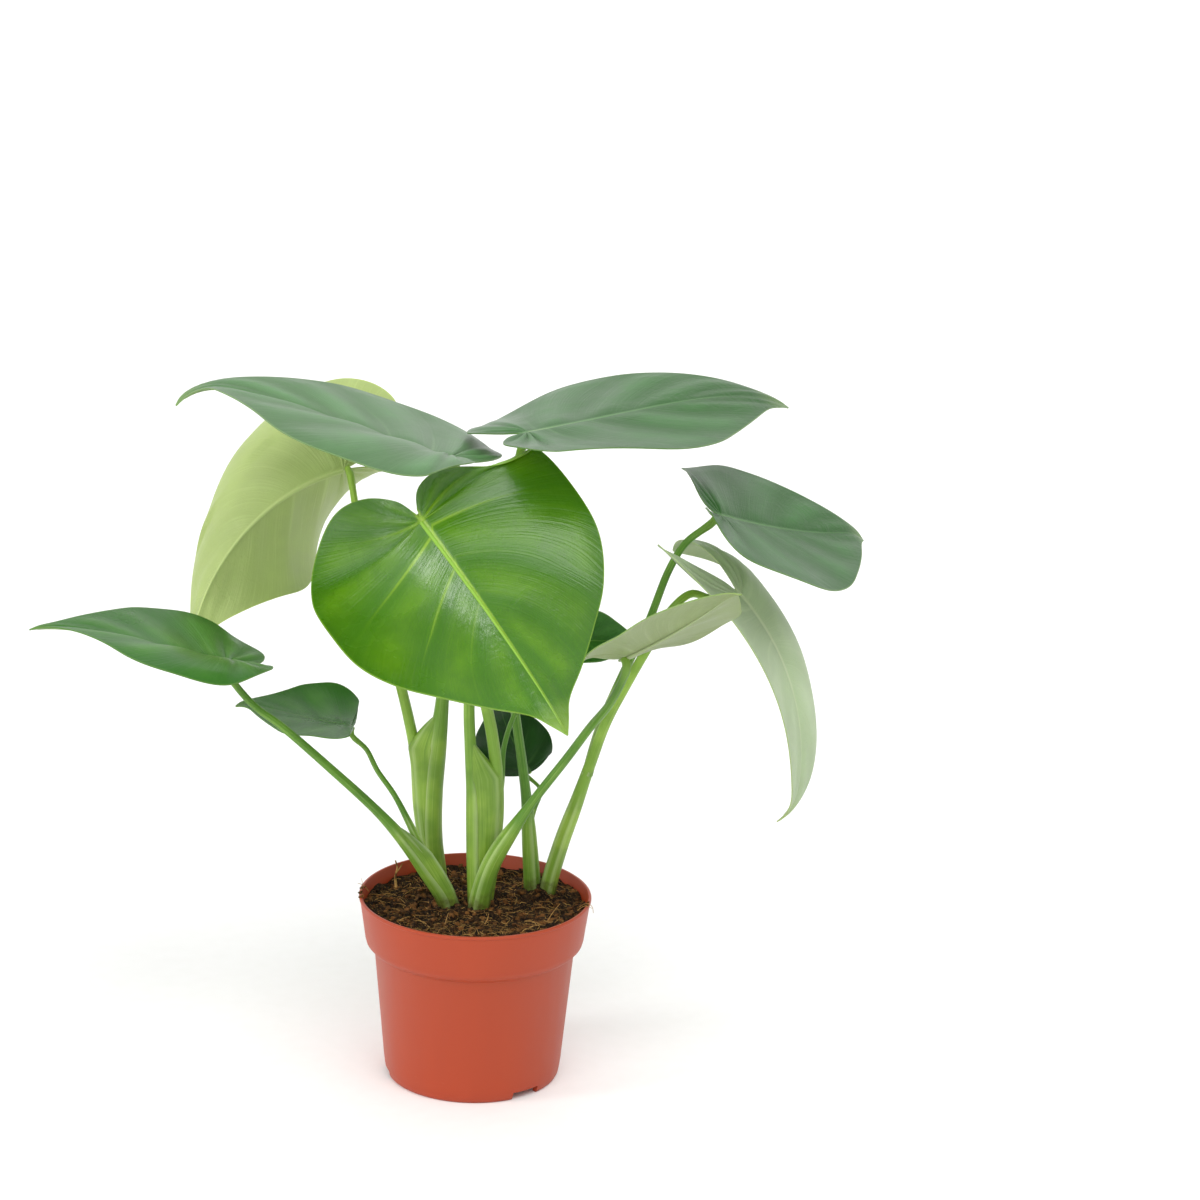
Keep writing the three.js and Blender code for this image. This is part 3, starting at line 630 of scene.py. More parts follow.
def curve_points(points, count):
    """A smooth curve through the points, as count points equally far apart."""
    points = np.asarray(points, dtype=float)
    ends = np.vstack([2 * points[0] - points[1], points, 2 * points[-1] - points[-2]])
    fine = []
    for i in range(len(points) - 1):
        p0, p1, p2, p3 = ends[i:i + 4]
        d0, d1, d2 = (max(np.sum((b - a) ** 2) ** 0.25, 1e-4) for a, b in ((p0, p1), (p1, p2), (p2, p3)))
        start = ((p1 - p0) / d0 - (p2 - p0) / (d0 + d1) + (p2 - p1) / d1) * d1
        end = ((p2 - p1) / d1 - (p3 - p1) / (d1 + d2) + (p3 - p2) / d2) * d1
        t = np.linspace(0, 1, 24, endpoint=False)[:, None]
        fine.append((2 * p1 - 2 * p2 + start + end) * t ** 3
                    + (-3 * p1 + 3 * p2 - 2 * start - end) * t ** 2 + start * t + p1)
    fine = np.vstack(fine + [points[-1:]])
    gone = np.concatenate([[0], np.cumsum(np.linalg.norm(np.diff(fine, axis=0), axis=1))])
    wanted = np.linspace(0, gone[-1], count)
    return np.stack([np.interp(wanted, gone, fine[:, i]) for i in range(3)], axis=1), gone[-1]


def blade_spine(blade, half):
    """The midrib's places, sides and upward directions, drawn on behind the joint for one half."""
    share = np.linspace(SPINE_START, 1, SPINE_STEPS + 1)
    ahead = np.maximum(share, 0)
    behind = np.maximum(-share, 0)
    down, aside = blade.get("hook", (0, 0))
    bend = np.maximum((share - HOOK_START) / (1 - HOOK_START), 0) ** 1.5
    droop = blade["droop"] * ahead ** blade["late"] + down * bend
    pitch = np.radians(blade["pitch"] - droop + blade["lobes"][half] * behind / LOBE_SHARE)
    heading = np.radians(blade["heading"] + blade["sway"] * share + aside * bend)
    roll = np.radians(blade["roll"] + blade["twist"] * share)[:, None]
    forward = np.stack([np.cos(heading) * np.cos(pitch), np.sin(heading) * np.cos(pitch), np.sin(pitch)], 1)
    lift = np.stack([-np.cos(heading) * np.sin(pitch), -np.sin(heading) * np.sin(pitch), np.cos(pitch)], 1)
    level = np.cross(lift, forward)
    up = lift * np.cos(roll) + level * np.sin(roll)
    side = np.cross(up, forward)
    steps = 0.5 * (forward[1:] + forward[:-1]) * (share[1] - share[0]) * blade["length"]
    points = np.vstack([np.zeros(3), np.cumsum(steps, axis=0)])
    spine = dict(share=share, point=points, side=side, up=up, forward=forward)
    points += np.array(blade["joint"]) - along_spine(spine, "point", np.array(0.0))
    return spine


def along_spine(spine, key, share):
    return np.stack([np.interp(share, spine["share"], spine[key][:, i]) for i in range(3)], axis=-1)


def blade_surface(blade, across, around):
    """The blade's middle surface. across goes from -1, the right edge, to 1, the left edge, and
    around from the joint, 0, along the edge to the tip, 1. Gives each point and the upward
    direction there, its place along the midrib, its distance from it and half the width."""
    half = blade["width"] / 2
    edge = outline_points(around)
    out = np.abs(across)
    drawn = np.where(edge[..., 0] < 0, edge[..., 0] * blade.get("lobe_length", 1), edge[..., 0])
    swept = drawn - blade.get("sweep", 0) * edge[..., 1] * (1 - np.abs(drawn))
    fanned = np.minimum(around / FAN_END, 1)
    ahead = np.clip((around - FAN_END) / (1 - FAN_END), 0, 1)
    foot = FAN_SHARE * fanned + (1 - FAN_SHARE) * ahead ** VEIN_SPREAD
    share = foot + (swept - foot) * out ** 1.4
    width = (edge[..., 1] * (half - TIP_HALF_WIDTH) + TIP_HALF_WIDTH * around) * out
    found = []
    for hand in (0, 1):
        spine = blade_spine(blade, hand)
        fold = math.radians(blade["fold"][hand])
        curl = math.radians(blade["curl"][hand])
        turn = curl * width / half
        sideways = half / curl * (np.sin(fold + turn) - math.sin(fold))
        wave = EDGE_WAVE * (width / half) ** 3 * np.sin(2 * math.pi * EDGE_WAVES * around + 2 * hand)
        lift = half / curl * (math.cos(fold) - np.cos(fold + turn)) + wave
        side = unit(along_spine(spine, "side", share))
        up = unit(along_spine(spine, "up", share))
        sign = 1 if hand == 0 else -1
        point = along_spine(spine, "point", share)
        point = point + side * (sign * sideways)[..., None] + up * lift[..., None]
        found.append((point, up))
    left = (across > 0)[..., None]
    (left_point, left_up), (right_point, right_up) = found
    return np.where(left, left_point, right_point), np.where(left, left_up, right_up), share, width, half


def joint_of(blade):
    """The joint, the direction midway above both halves, and how far they close below it."""
    spine = blade_spine(blade, 0)
    share = np.array(0.0)
    left, right = blade["fold"]
    lean = math.radians((left - right) / 2)
    up = unit(along_spine(spine, "up", share))
    side = unit(along_spine(spine, "side", share))
    closing = math.sin(math.radians(max(0, -(left + right) / 2)))
    return along_spine(spine, "point", share), up * math.cos(lean) - side * math.sin(lean), closing


# Blades.

# A blade longer than this has the finer of two grids: rows for each vein, and columns on a half.
LARGE_BLADE = 90
FINE_GRID = (12, 28)
COARSE_GRID = (10, 18)
# The grooves of the veins and of the midrib, in millimetres, and how deep the midrib's one and
# the ripples along the edge are, against the veins and the quilting.
VEIN_WIDTH = 1.6
RIB_GROOVE_WIDTH = 1.8
RIB_GROOVE_SHARE = 0.7
RIPPLE_SHARE = 0.35
# The quilting starts this far from the midrib and from the edge, in millimetres.
QUILT_TO_RIB = 8
QUILT_TO_EDGE = 9
# The tip yellows from this share of the length, over this share.
YELLOW_TIP = 0.86
YELLOW_TIP_LENGTH = 0.12
# A blade of this width, in millimetres, has a midrib with these radii at the joint and the tip. A
# midrib ends at this share of the length, and its height is this share of its width.
USUAL_WIDTH = 140
RIB_RADIUS = 1.15
RIB_TIP_RADIUS = 0.2
RIB_END = 0.96
RIB_HEIGHT = 0.85
RIB_ROWS = 44
RIB_SIDES = 12

# What a leaf's material reads on the midrib: the midrib's own colour, and no pattern.
RIB_VALUES = dict(lay=0, span_mm=99, out=1, rib_mm=0, rib_width=1, edge_mm=9, swelling=0, left_half=0,
                  tip=0)


def make_blade(name, blade, settings):
    """One blade: a grid laid on the curved surface, with sunken veins, swellings between them,
    and a raised midrib below."""
    rows_per_vein, half_columns = FINE_GRID if blade["length"] > LARGE_BLADE else COARSE_GRID
    rows = blade["veins"] * rows_per_vein
    columns = 2 * half_columns
    around, across = np.meshgrid(np.linspace(0, 1, rows + 1), np.linspace(-1, 1, columns + 1), indexing="ij")
    points, up, share, width, half = blade_surface(blade, across, around)
    down_rows = np.gradient(points, axis=0)
    over_columns = np.gradient(points, axis=1)
    normal = unit(np.cross(over_columns, down_rows))
    normal *= np.where(np.sum(normal * up, axis=-1, keepdims=True) < 0, -1, 1)
    # Where each point lies among the veins, and how far it is from the midrib and the edge.
    out = np.abs(across)
    lean = VEIN_LEAN * np.clip((around - FAN_END) / 0.2, 0.2, 1)
    lay = around - lean * out - np.where(across > 0, 0, RIGHT_SHIFT)
    over = unit(over_columns)
    row_step = down_rows - over * np.sum(down_rows * over, axis=-1, keepdims=True)
    span = np.linalg.norm(row_step, axis=-1) * rows
    rib_width = (0.35 + 1.4 * np.clip(1 - share, 0, 1) ** 1.6) * (blade["width"] / USUAL_WIDTH) ** 0.5
    tip = np.clip((share - YELLOW_TIP) / YELLOW_TIP_LENGTH, 0, 1)
    edge = np.linalg.norm(over_columns, axis=-1) * columns / 2 * (1 - out)
    body = np.clip(width / QUILT_TO_RIB, 0, 1) * np.clip(edge / QUILT_TO_EDGE, 0, 1)
    swelling = (0.5 - 0.5 * np.cos(2 * np.pi * lay * blade["veins"])) * body
    ripple = np.sin(2 * np.pi * (around * 5 + across * 0.8)) * np.clip(width / half, 0, 1) ** 2
    left_half = (across > 0).astype(float)
    groove = sum((left * left_half + right * (1 - left_half))
                 * np.exp(-((lay - start) * span / VEIN_WIDTH) ** 2)
                 for start, left, right in LARGE_VEINS)
    relief = (blade["quilt"] * settings.quilting * swelling
              - settings.vein_depth * groove * np.clip(1.25 - 1.2 * out, 0, 1) * body
              - RIB_GROOVE_SHARE * settings.vein_depth * np.exp(-(width / RIB_GROOVE_WIDTH) ** 2)
              + RIPPLE_SHARE * blade["quilt"] * ripple)
    points = points + normal * relief[..., None]
    obj, column, row = sheet(name, columns, rows)
    place_points(obj, points[row, column])
    found = dict(lay=lay, span_mm=span, out=out, rib_mm=width, rib_width=rib_width, edge_mm=edge,
                 swelling=swelling, left_half=left_half, tip=tip)
    add_values(obj, **{key: values[row, column] for key, values in found.items()})
    if face_side(obj, normal[row, column]) < 0:
        start_edit(obj)
        bpy.ops.mesh.flip_normals()
        bpy.ops.object.mode_set(mode="OBJECT")
    obj.data.materials.append(leaf_face(blade["kind"], True))
    obj.data.materials.append(leaf_face(blade["kind"], False))
    apply_modifier(obj, "SOLIDIFY", thickness=settings.thickness, offset=0, material_offset=1,
                   material_offset_rim=0)
    smooth(obj, 60)
    return join([obj, make_midrib(name + "_midrib", blade)], name)


def face_side(obj, directions):
    """Positive where the faces point the way of the corners' directions."""
    return sum(face.normal.dot(Vector(directions[face.vertices[0]])) for face in obj.data.polygons)


def make_midrib(name, blade):
    """The midrib under the blade: a round rib that thins towards the tip."""
    share = np.linspace(0.0, RIB_END, RIB_ROWS + 1)
    spread = (np.clip(share - FAN_SHARE, 0, 1) / (1 - FAN_SHARE)) ** (1 / VEIN_SPREAD)
    beside = np.full_like(share, 1e-4)
    centre, up, _, _, _ = blade_surface(blade, beside, FAN_END + (1 - FAN_END) * spread)
    forward = unit(np.gradient(centre, axis=0))
    up = unit(up - forward * np.sum(up * forward, axis=1, keepdims=True))
    side = np.cross(up, forward)
    radius = RIB_RADIUS * (blade["width"] / USUAL_WIDTH) ** 0.5 * (1 - share) ** 0.9 + RIB_TIP_RADIUS
    # It is partly sunk in the blade.
    centre = centre - up * (0.45 * radius + 0.5)[:, None]
    radii = radius[:, None] * np.array([[1.0, RIB_HEIGHT]])
    obj, _, _ = make_tube(name, centre, side, up, radii, RIB_SIDES, leaf_face(blade["kind"], False))
    add_values(obj, **RIB_VALUES)
    return close_tube(obj)


def make_tube(name, centre, side, up, radii, sides, material, shape=1.0):
    """An open tube along the centre points, and the column and row of each of its corners. radii
    are across and up at each point, and shape scales them by row and side."""
    rows = len(centre) - 1
    obj, column, row = sheet(name, sides, rows)
    angle = 2 * math.pi * column / sides
    scale = np.broadcast_to(shape, (rows + 1, sides + 1))[row, column]
    place_points(obj, centre[row]
                 + side[row] * (radii[row, 0] * np.cos(angle) * scale)[:, None]
                 + up[row] * (radii[row, 1] * np.sin(angle) * scale)[:, None])
    obj.data.materials.append(material)
    return obj, column, row


def close_tube(obj):
    """Joins the tube's seam and closes its ends."""
    start_edit(obj)
    bpy.ops.mesh.remove_doubles(threshold=0.000002)
    bpy.ops.mesh.select_all(action="SELECT")
    bpy.ops.mesh.fill_holes(sides=0)
    face_outwards()
    smooth(obj, 60)
    return obj


# Stalks.

# A stalk's cross-section: where the sheath's margins stand, as an angle from the middle of its
# opening, how wide they and the channel are, and how far they, the channel and the flutes rise or
# sink, as shares of the radius.
STALK_SIDES = 24
MARGIN_ANGLE = 0.62
MARGIN_WIDTH = 0.16
MARGIN_RISE = 0.22
CHANNEL_WIDTH = 0.55
CHANNEL_DEPTH = 0.1
SHEATH_DEPTH = 0.16
FLUTES = 7
FLUTE_RISE = 0.008
# Below the blade the stalk is this much thicker, and yellower, over these lengths.
JOINT_SWELLING = 0.16
JOINT_LENGTH = 12
JOINT_COLOUR_LENGTH = 16
# The length of a stalk's faces.
STALK_ROW = 2.2
# The sheath round two stalks: how far it reaches past them and how thick it is, against the
# stalks' mean radius at the foot, how thick it stays at its point, and where its margins are.
SHEATH_SIDES = 32
SHEATH_ROWS = 60
SHEATH_REACH = 0.55
SHEATH_THICKNESS = 1.02
SHEATH_POINT_THICKNESS = 0.4
SHEATH_MARGIN_PLACE = 0.5
SHEATH_MARGIN_WIDTH = 0.09


def stalk_radius(stalk, share):
    """The stalk's radius along its length: sheath, the step at its end, and the bare stalk."""
    foot, sheath_end, above, tip = stalk["radii"]
    places = [0, stalk["sheath"] - 0.05, stalk["sheath"] + 0.07, 1]
    plain = np.interp(share, places, [foot, sheath_end, above, tip])
    spread = np.ones(7) / 7
    return np.convolve(np.pad(plain, 3, mode="edge"), spread, mode="valid")


def in_soil_path(stalk):
    """The stalk's path, from a point under the soil."""
    x, y, _ = stalk["path"][0]
    return [(x, y, STEM_FOOT)] + stalk["path"]


def make_stalk(number, stalk, light, material):
    """One stalk. Below it is a sheath, open on one side between two papery margins, and above it
    is round with a shallow channel. It thickens a little just below the blade."""
    point, up, closing = joint_of(BLADES[stalk["blade"]])
    path = in_soil_path(stalk) if stalk.get("in_soil") else stalk["path"]
    clearance = 0.4 + 1.2 * stalk["radii"][3] * closing
    path = [*path, point - up * (clearance + 4), point - up * clearance]
    _, length = curve_points(path, 2)
    rows = int(length / STALK_ROW)
    centre, length = curve_points(path, rows + 1)
    share = np.linspace(0, 1, rows + 1)
    along = unit(np.gradient(centre, axis=0))
    opening = np.array(stalk["opening"], dtype=float)[None, :]
    e_open = unit(opening - along * np.sum(opening * along, axis=1, keepdims=True))
    e_side = np.cross(along, e_open)
    radius = stalk_radius(stalk, share)
    ends = np.clip((1 - share) * length / JOINT_LENGTH, 0, 1)
    radius = radius * (1 + JOINT_SWELLING * np.sin(np.pi * (1 - ends)) * (ends < 1))
    sheathed = np.clip((stalk["sheath"] + 0.03 - share) / 0.05, 0, 1)
    angle = 2 * math.pi * np.arange(STALK_SIDES + 1) / STALK_SIDES
    apart = np.abs((angle + math.pi) % (2 * math.pi) - math.pi)
    margin_line = np.exp(-((apart - MARGIN_ANGLE) / MARGIN_WIDTH) ** 2)
    channel = np.exp(-(apart / CHANNEL_WIDTH) ** 2)
    rise = MARGIN_RISE * margin_line[None, :] * sheathed[:, None]
    dip = channel[None, :] * (CHANNEL_DEPTH + SHEATH_DEPTH * sheathed)[:, None]
    shape = 1 + rise - dip + FLUTE_RISE * np.cos(FLUTES * angle)[None, :]
    shape[:, -1] = shape[:, 0]
    obj, column, row = make_tube(f"stalk_{number}", centre, e_open, e_side, np.stack([radius, radius], 1),
                                 STALK_SIDES, material, shape)
    add_values(obj, sheath=sheathed[row], margin=margin_line[column] * sheathed[row],
               joint=np.clip(1 - (1 - share[row]) * length / JOINT_COLOUR_LENGTH, 0, 1),
               light_green=light)
    return close_tube(obj)


def make_shared_sheath(first, second, top, material):
    """The lower part of two stalks is wrapped in one broad sheath. Above the place where they
    part it ends in a point against the first stalk, at the height top."""
    height = np.linspace(STEM_FOOT, top, SHEATH_ROWS + 1)
    places = []
    for stalk in (first, second):
        line, _ = curve_points(in_soil_path(stalk), 120)
        places.append(np.stack([np.interp(height, line[:, 2], line[:, i]) for i in range(3)], 1))
    gap = places[1] - places[0]
    gap[:, 2] = 0
    narrowing = np.clip((top - height) / SHEATH_POINT, 0, 1)
    centre = places[0] + gap / 2 * narrowing[:, None]
    across = unit(gap)
    depth = np.cross(across, np.array([[0.0, 0.0, 1.0]]))
    thickness = SHEATH_THICKNESS * (first["radii"][0] + second["radii"][0]) / 2
    width = (np.linalg.norm(gap, axis=1) / 2 + SHEATH_REACH * thickness) * narrowing + 0.1
    thinning = SHEATH_POINT_THICKNESS + (1 - SHEATH_POINT_THICKNESS) * narrowing
    radii = np.stack([width, thickness * thinning], 1)
    # Flatter in front and behind than an ellipse.
    angle = 2 * math.pi * np.arange(SHEATH_SIDES + 1) / SHEATH_SIDES
    flat = (np.abs(np.cos(angle)) ** 3 + np.abs(np.sin(angle)) ** 3) ** (-1 / 3)
    obj, column, _ = make_tube("shared_sheath", centre, across, depth, radii, SHEATH_SIDES, material, flat)
    margin = np.exp(-((np.cos(angle) - SHEATH_MARGIN_PLACE) / SHEATH_MARGIN_WIDTH) ** 2)
    add_values(obj, sheath=1, margin=0.8 * margin[column], joint=0, light_green=0.5)
    return close_tube(obj)


# Pot.

def make_pot(settings):
    """The pot, drawn up ring by ring from its underside over the rim and down inside, with the
    gaps in its foot ring and the drain holes cut out."""
    floor_top = FOOT_HEIGHT + WALL
    rim = RIM_RADIUS
    rings = [
        (CENTRE_DISC_RADIUS, 0), (CENTRE_DISC_RADIUS + 1.5, FOOT_HEIGHT), (FOOT_RADIUS - 2.6, FOOT_HEIGHT),
        (FOOT_RADIUS - 2, 0), (FOOT_RADIUS, 0), (FOOT_RADIUS + 0.9, 0.6), (FOOT_RADIUS + 1.6, 2),
        (BODY_FOOT_RADIUS, 5), (BODY_FOOT_RADIUS + 0.5, 9), (BODY_TOP_RADIUS, BODY_TOP_HEIGHT),
        (BODY_TOP_RADIUS + 0.5, BODY_TOP_HEIGHT + 0.8), (BAND_FOOT_RADIUS - 1.9, BODY_TOP_HEIGHT + 2.4),
        (BAND_FOOT_RADIUS - 0.6, BAND_FOOT_HEIGHT - 1.6), (BAND_FOOT_RADIUS, BAND_FOOT_HEIGHT + 0.6),
        (rim - 0.5, POT_HEIGHT - 1.9), (rim, POT_HEIGHT - 1.5), (rim, POT_HEIGHT - 0.4),
        (rim - 0.5, POT_HEIGHT), (rim - WALL + 0.3, POT_HEIGHT), (rim - WALL, POT_HEIGHT - 0.4),
        (BAND_FOOT_RADIUS - WALL, BAND_FOOT_HEIGHT), (BODY_TOP_RADIUS - WALL, BODY_TOP_HEIGHT),
        (BODY_FOOT_RADIUS - WALL, floor_top), (CENTRE_DISC_RADIUS + 2.6, floor_top),
        (CENTRE_DISC_RADIUS + 1, WALL),
    ]
    clear_selection()
    bpy.ops.mesh.primitive_circle_add(vertices=144, radius=rings[0][0] * MM, fill_type="NGON",
                                      location=(0, 0, rings[0][1] * MM))
    pot = bpy.context.object
    pot.name = "pot_shell"
    settle(pot)
    start_edit(pot)
    bpy.ops.mesh.region_to_loop()
    for (radius, height), (next_radius, next_height) in zip(rings, rings[1:]):
        draw_ring(height, next_height, next_radius / radius)
    bpy.ops.mesh.edge_face_add()
    face_outwards()
    cutters = []
    for centre in FOOT_GAP_CENTRES:
        turn = math.radians(centre)
        bpy.ops.mesh.primitive_cube_add(size=1, rotation=(0, 0, turn), location=(
            FOOT_RADIUS * MM * math.cos(turn), FOOT_RADIUS * MM * math.sin(turn), 0))
        cutter = bpy.context.object
        cutter.scale = (FOOT_GAP_DEPTH * MM, FOOT_GAP_WIDTH * MM, 2 * FOOT_HEIGHT * MM)
        cutters.append(cutter)
    for i in range(DRAIN_COUNT):
        turn = (i + 0.5) * 2 * math.pi / DRAIN_COUNT
        place = Vector((DRAIN_CIRCLE * math.cos(turn), DRAIN_CIRCLE * math.sin(turn), FOOT_HEIGHT)) * MM
        bpy.ops.mesh.primitive_cylinder_add(
            vertices=24, radius=DRAIN_RADIUS * MM, depth=6 * WALL * MM, location=place)
        cutters.append(bpy.context.object)
    for cutter in cutters:
        apply_modifier(pot, "BOOLEAN", operation="DIFFERENCE", object=cutter, solver="EXACT")
        bpy.data.objects.remove(cutter)
    apply_modifier(pot, "BEVEL", width=settings.edge_rounding, segments=2, limit_method="ANGLE",
                   angle_limit=math.radians(50))
    smooth(pot, 32)
    return pot


def draw_ring(height, next_height, grow, flatten=False):
    """Draws the selected edge on to the next height, and widens or narrows it there."""
    rise = (0, 0, (next_height - height) * MM)
    bpy.ops.mesh.extrude_edges_move(TRANSFORM_OT_translate={"value": rise})
    upright = 0 if flatten else 1
    bpy.ops.transform.resize(value=(grow, grow, upright), center_override=(0, 0, next_height * MM))


# Soil.

SOIL_CELLS = 120
# How deep under the soil's level its uneven edge is laid flat, and its gap to the pot's wall.
SOIL_EDGE_DEPTH = 6
WALL_GAP = 0.3
# The heap round each stalk's foot: its height, and how broad it is, in square millimetres.
HEAP_HEIGHT = 2.4
HEAP_SPREAD = 80


def ground_roughness(x, y):
    return 0.5 * (np.sin(0.31 * x + 1.7 * np.sin(0.23 * y)) + np.sin(0.37 * y + 1.3 * np.sin(0.29 * x)))


def soil_height(x, y):
    """The soil's height in millimetres, as in the CAD part."""
    out = np.hypot(x, y) / RIM_RADIUS
    front = np.clip(-y / RIM_RADIUS, 0, 1) * out ** 3
    return SOIL_LEVEL + 1.5 * out ** 2 + SOIL_FRONT_HEAP * front + SOIL_ROUGHNESS * ground_roughness(x, y)


def crumb_height(x, y):
    """The crumbs and hollows on top of the soil's main shape: about 6, 2.4 and 0.9 mm across."""
    big = noise.noise(Vector((x * 0.16, y * 0.16, 3.0)))
    middle = noise.noise(Vector((x * 0.42, y * 0.42, 8.0)))
    small = noise.noise(Vector((x * 1.1, y * 1.1, 5.0)))
    return 2.0 * big + 1.7 * middle + 1.0 * small


def rooted_stalks():
    return [stalk for stalks in CLUMPS.values() for stalk in stalks if stalk.get("in_soil")]


def heap_height(x, y):
    """The soil is heaped a little round the feet of the stalks."""
    height = 0
    for stalk in rooted_stalks():
        foot_x, foot_y, _ = stalk["path"][0]
        height = height + HEAP_HEIGHT * np.exp(-((x - foot_x) ** 2 + (y - foot_y) ** 2) / HEAP_SPREAD)
    return height


def wall_radius(height):
    up = (height - BAND_FOOT_HEIGHT) / (POT_HEIGHT - BAND_FOOT_HEIGHT)
    return BAND_FOOT_RADIUS + up * (RIM_RADIUS - BAND_FOOT_RADIUS) - WALL - WALL_GAP


def make_soil(settings):
    """The soil's rough top, closed below."""
    obj, column, row = sheet("potting_soil", SOIL_CELLS, SOIL_CELLS)
    x = column / SOIL_CELLS * 2 - 1
    y = row / SOIL_CELLS * 2 - 1
    disc_x = x * np.sqrt(1 - y * y / 2)
    disc_y = y * np.sqrt(1 - x * x / 2)
    radius = wall_radius(SOIL_LEVEL + 2.0)
    px, py = disc_x * radius, disc_y * radius
    crumbs = np.array([crumb_height(a, b) for a, b in zip(px, py)])
    inside = np.clip((1 - np.hypot(disc_x, disc_y)) * 14, 0.25, 1)
    height = soil_height(px, py) + heap_height(px, py) + settings.crumb_size * crumbs * inside
    grow = wall_radius(np.minimum(height, POT_HEIGHT)) / radius
    place_points(obj, np.stack([px * grow, py * grow, height], 1))
    # The soil is lighter on its crumbs and darker in the hollows between them.
    add_values(obj, shade=np.clip(0.5 + 0.25 * crumbs, 0, 1) * 0.3)
    start_edit(obj)
    bpy.ops.mesh.region_to_loop()
    # The edge is uneven, so it is drawn down and then laid flat at this level.
    level = SOIL_LEVEL - SOIL_EDGE_DEPTH
    narrow = (wall_radius(level) - 0.2) / wall_radius(POT_HEIGHT)
    draw_ring(level + 4, level, narrow, flatten=True)
    before = radius
    for rim_radius, height in ((BAND_FOOT_RADIUS, BAND_FOOT_HEIGHT), (BODY_TOP_RADIUS, BODY_TOP_HEIGHT),
                               (BODY_FOOT_RADIUS, FOOT_HEIGHT + WALL + WALL_GAP)):
        inner = rim_radius - WALL - 0.4
        draw_ring(level, height, inner / before)
        level = height
        before = inner
    bpy.ops.mesh.edge_face_add()
    face_outwards()
    obj.data.materials.append(peat("moist_peat", "#0e0804", "#34200f"))
    smooth(obj, 70)
    return obj


def ground_at(x, y):
    return float(soil_height(np.array(x), np.array(y)) + heap_height(x, y)) + crumb_height(x, y) * 0.9


def free_place(rng, reach, room):
    """A random place on the soil within this reach, and this far from every stalk."""
    while True:
        out = math.sqrt(rng.random()) * reach
        turn = rng.uniform(0, 2 * math.pi)
        x, y = out * math.cos(turn), out * math.sin(turn)
        if all(math.hypot(x - stalk["path"][0][0], y - stalk["path"][0][1]) >= stalk["radii"][0] + room
               for stalk in rooted_stalks()):
            return x, y


def loose_matter(name, bits, material, degrees):
    """One mesh of many loose bits, each given as its points, its faces and its shade."""
    points = []
    faces = []
    shade = []
    for own_points, own_faces, tone in bits:
        first = len(shade)
        points.append(own_points)
        faces += [tuple(i + first for i in face) for face in own_faces]
        shade += [tone] * len(own_points)
    mesh = bpy.data.meshes.new(name)
    mesh.from_pydata(np.vstack(points).tolist(), [], faces)
    obj = bpy.data.objects.new(name, mesh)
    bpy.context.collection.objects.link(obj)
    add_values(obj, shade=shade)
    mesh.materials.append(material)
    smooth(obj, degrees)
    return obj


# How far from the pot's axis the crumbs lie, and how near to a stalk's side, in millimetres. Below
# zero they are partly under it.
CRUMB_REACH = 56.5
CRUMB_ROOM = -1.2
# The places of the crumbs that lie on the rim.
RIM_CRUMBS = ((-58.6, -9, 98.4), (-59.2, -3, 98.6), (-58.9, 1.5, 99.2), (-59.0, -6, 99.6),
              (-57.4, 5, 98.3), (58.4, -8, 98.3), (57.8, -12, 98.2))


def make_crumbs(settings):
    """Loose crumbs of peat and bark on the soil, and a few on the rim."""
    rng = random.Random(11)
    clear_selection()
    bpy.ops.mesh.primitive_uv_sphere_add(segments=7, ring_count=5, radius=1 * MM)
    lump = bpy.context.object
    for corner in lump.data.vertices:
        corner.co *= 1 + 0.9 * noise.noise(corner.co * 1900)
    placings = []
    for _ in range(settings.crumb_count):
        x, y = free_place(rng, CRUMB_REACH, CRUMB_ROOM)
        size = 0.3 + 1.3 * rng.random() ** 3
        stretch = Matrix.Diagonal((size * rng.uniform(0.8, 1.7), size, size * rng.uniform(0.5, 0.9), 1))
        spin = Matrix.Rotation(rng.uniform(0, 6.3), 4, "Z") @ Matrix.Rotation(rng.uniform(-0.7, 0.7), 4, "X")
        place = Vector((x, y, ground_at(x, y) + 0.25 * size)) * MM
        placings.append((Matrix.Translation(place) @ spin @ stretch, rng.random() ** 3))
    for place in RIM_CRUMBS:
        size = rng.uniform(0.5, 0.95)
        placings.append((Matrix.Translation(Vector(place) * MM)
                         @ Matrix.Diagonal((size * 1.3, size, size * 0.8, 1)), rng.uniform(0.1, 0.6)))
    own = np.array([corner.co[:] for corner in lump.data.vertices])
    faces = [tuple(face.vertices) for face in lump.data.polygons]
    bpy.data.objects.remove(lump)
    bits = [(own @ np.array(turn.to_3x3()).T + np.array(turn.translation), faces, tone)
            for turn, tone in placings]
    return loose_matter("soil_crumbs", bits, peat("dried_peat_crumbs", "#140b05", "#7a5028"), 50)


def fibre_points(rng, start, turn, length, rise):
    """A loose fibre's centre line: it bends one way as it goes, and rises or lies flat."""
    count = 7
    bend = rng.uniform(-2.6, 2.6)
    points = [np.array(start, dtype=float)]
    for i in range(1, count):
        angle = turn + bend * i / count
        step = length / (count - 1)
        lift = rise * (1 - 1.6 * i / count)
        points.append(points[-1] + step * np.array([math.cos(angle), math.sin(angle), lift]))
    return np.array(points)


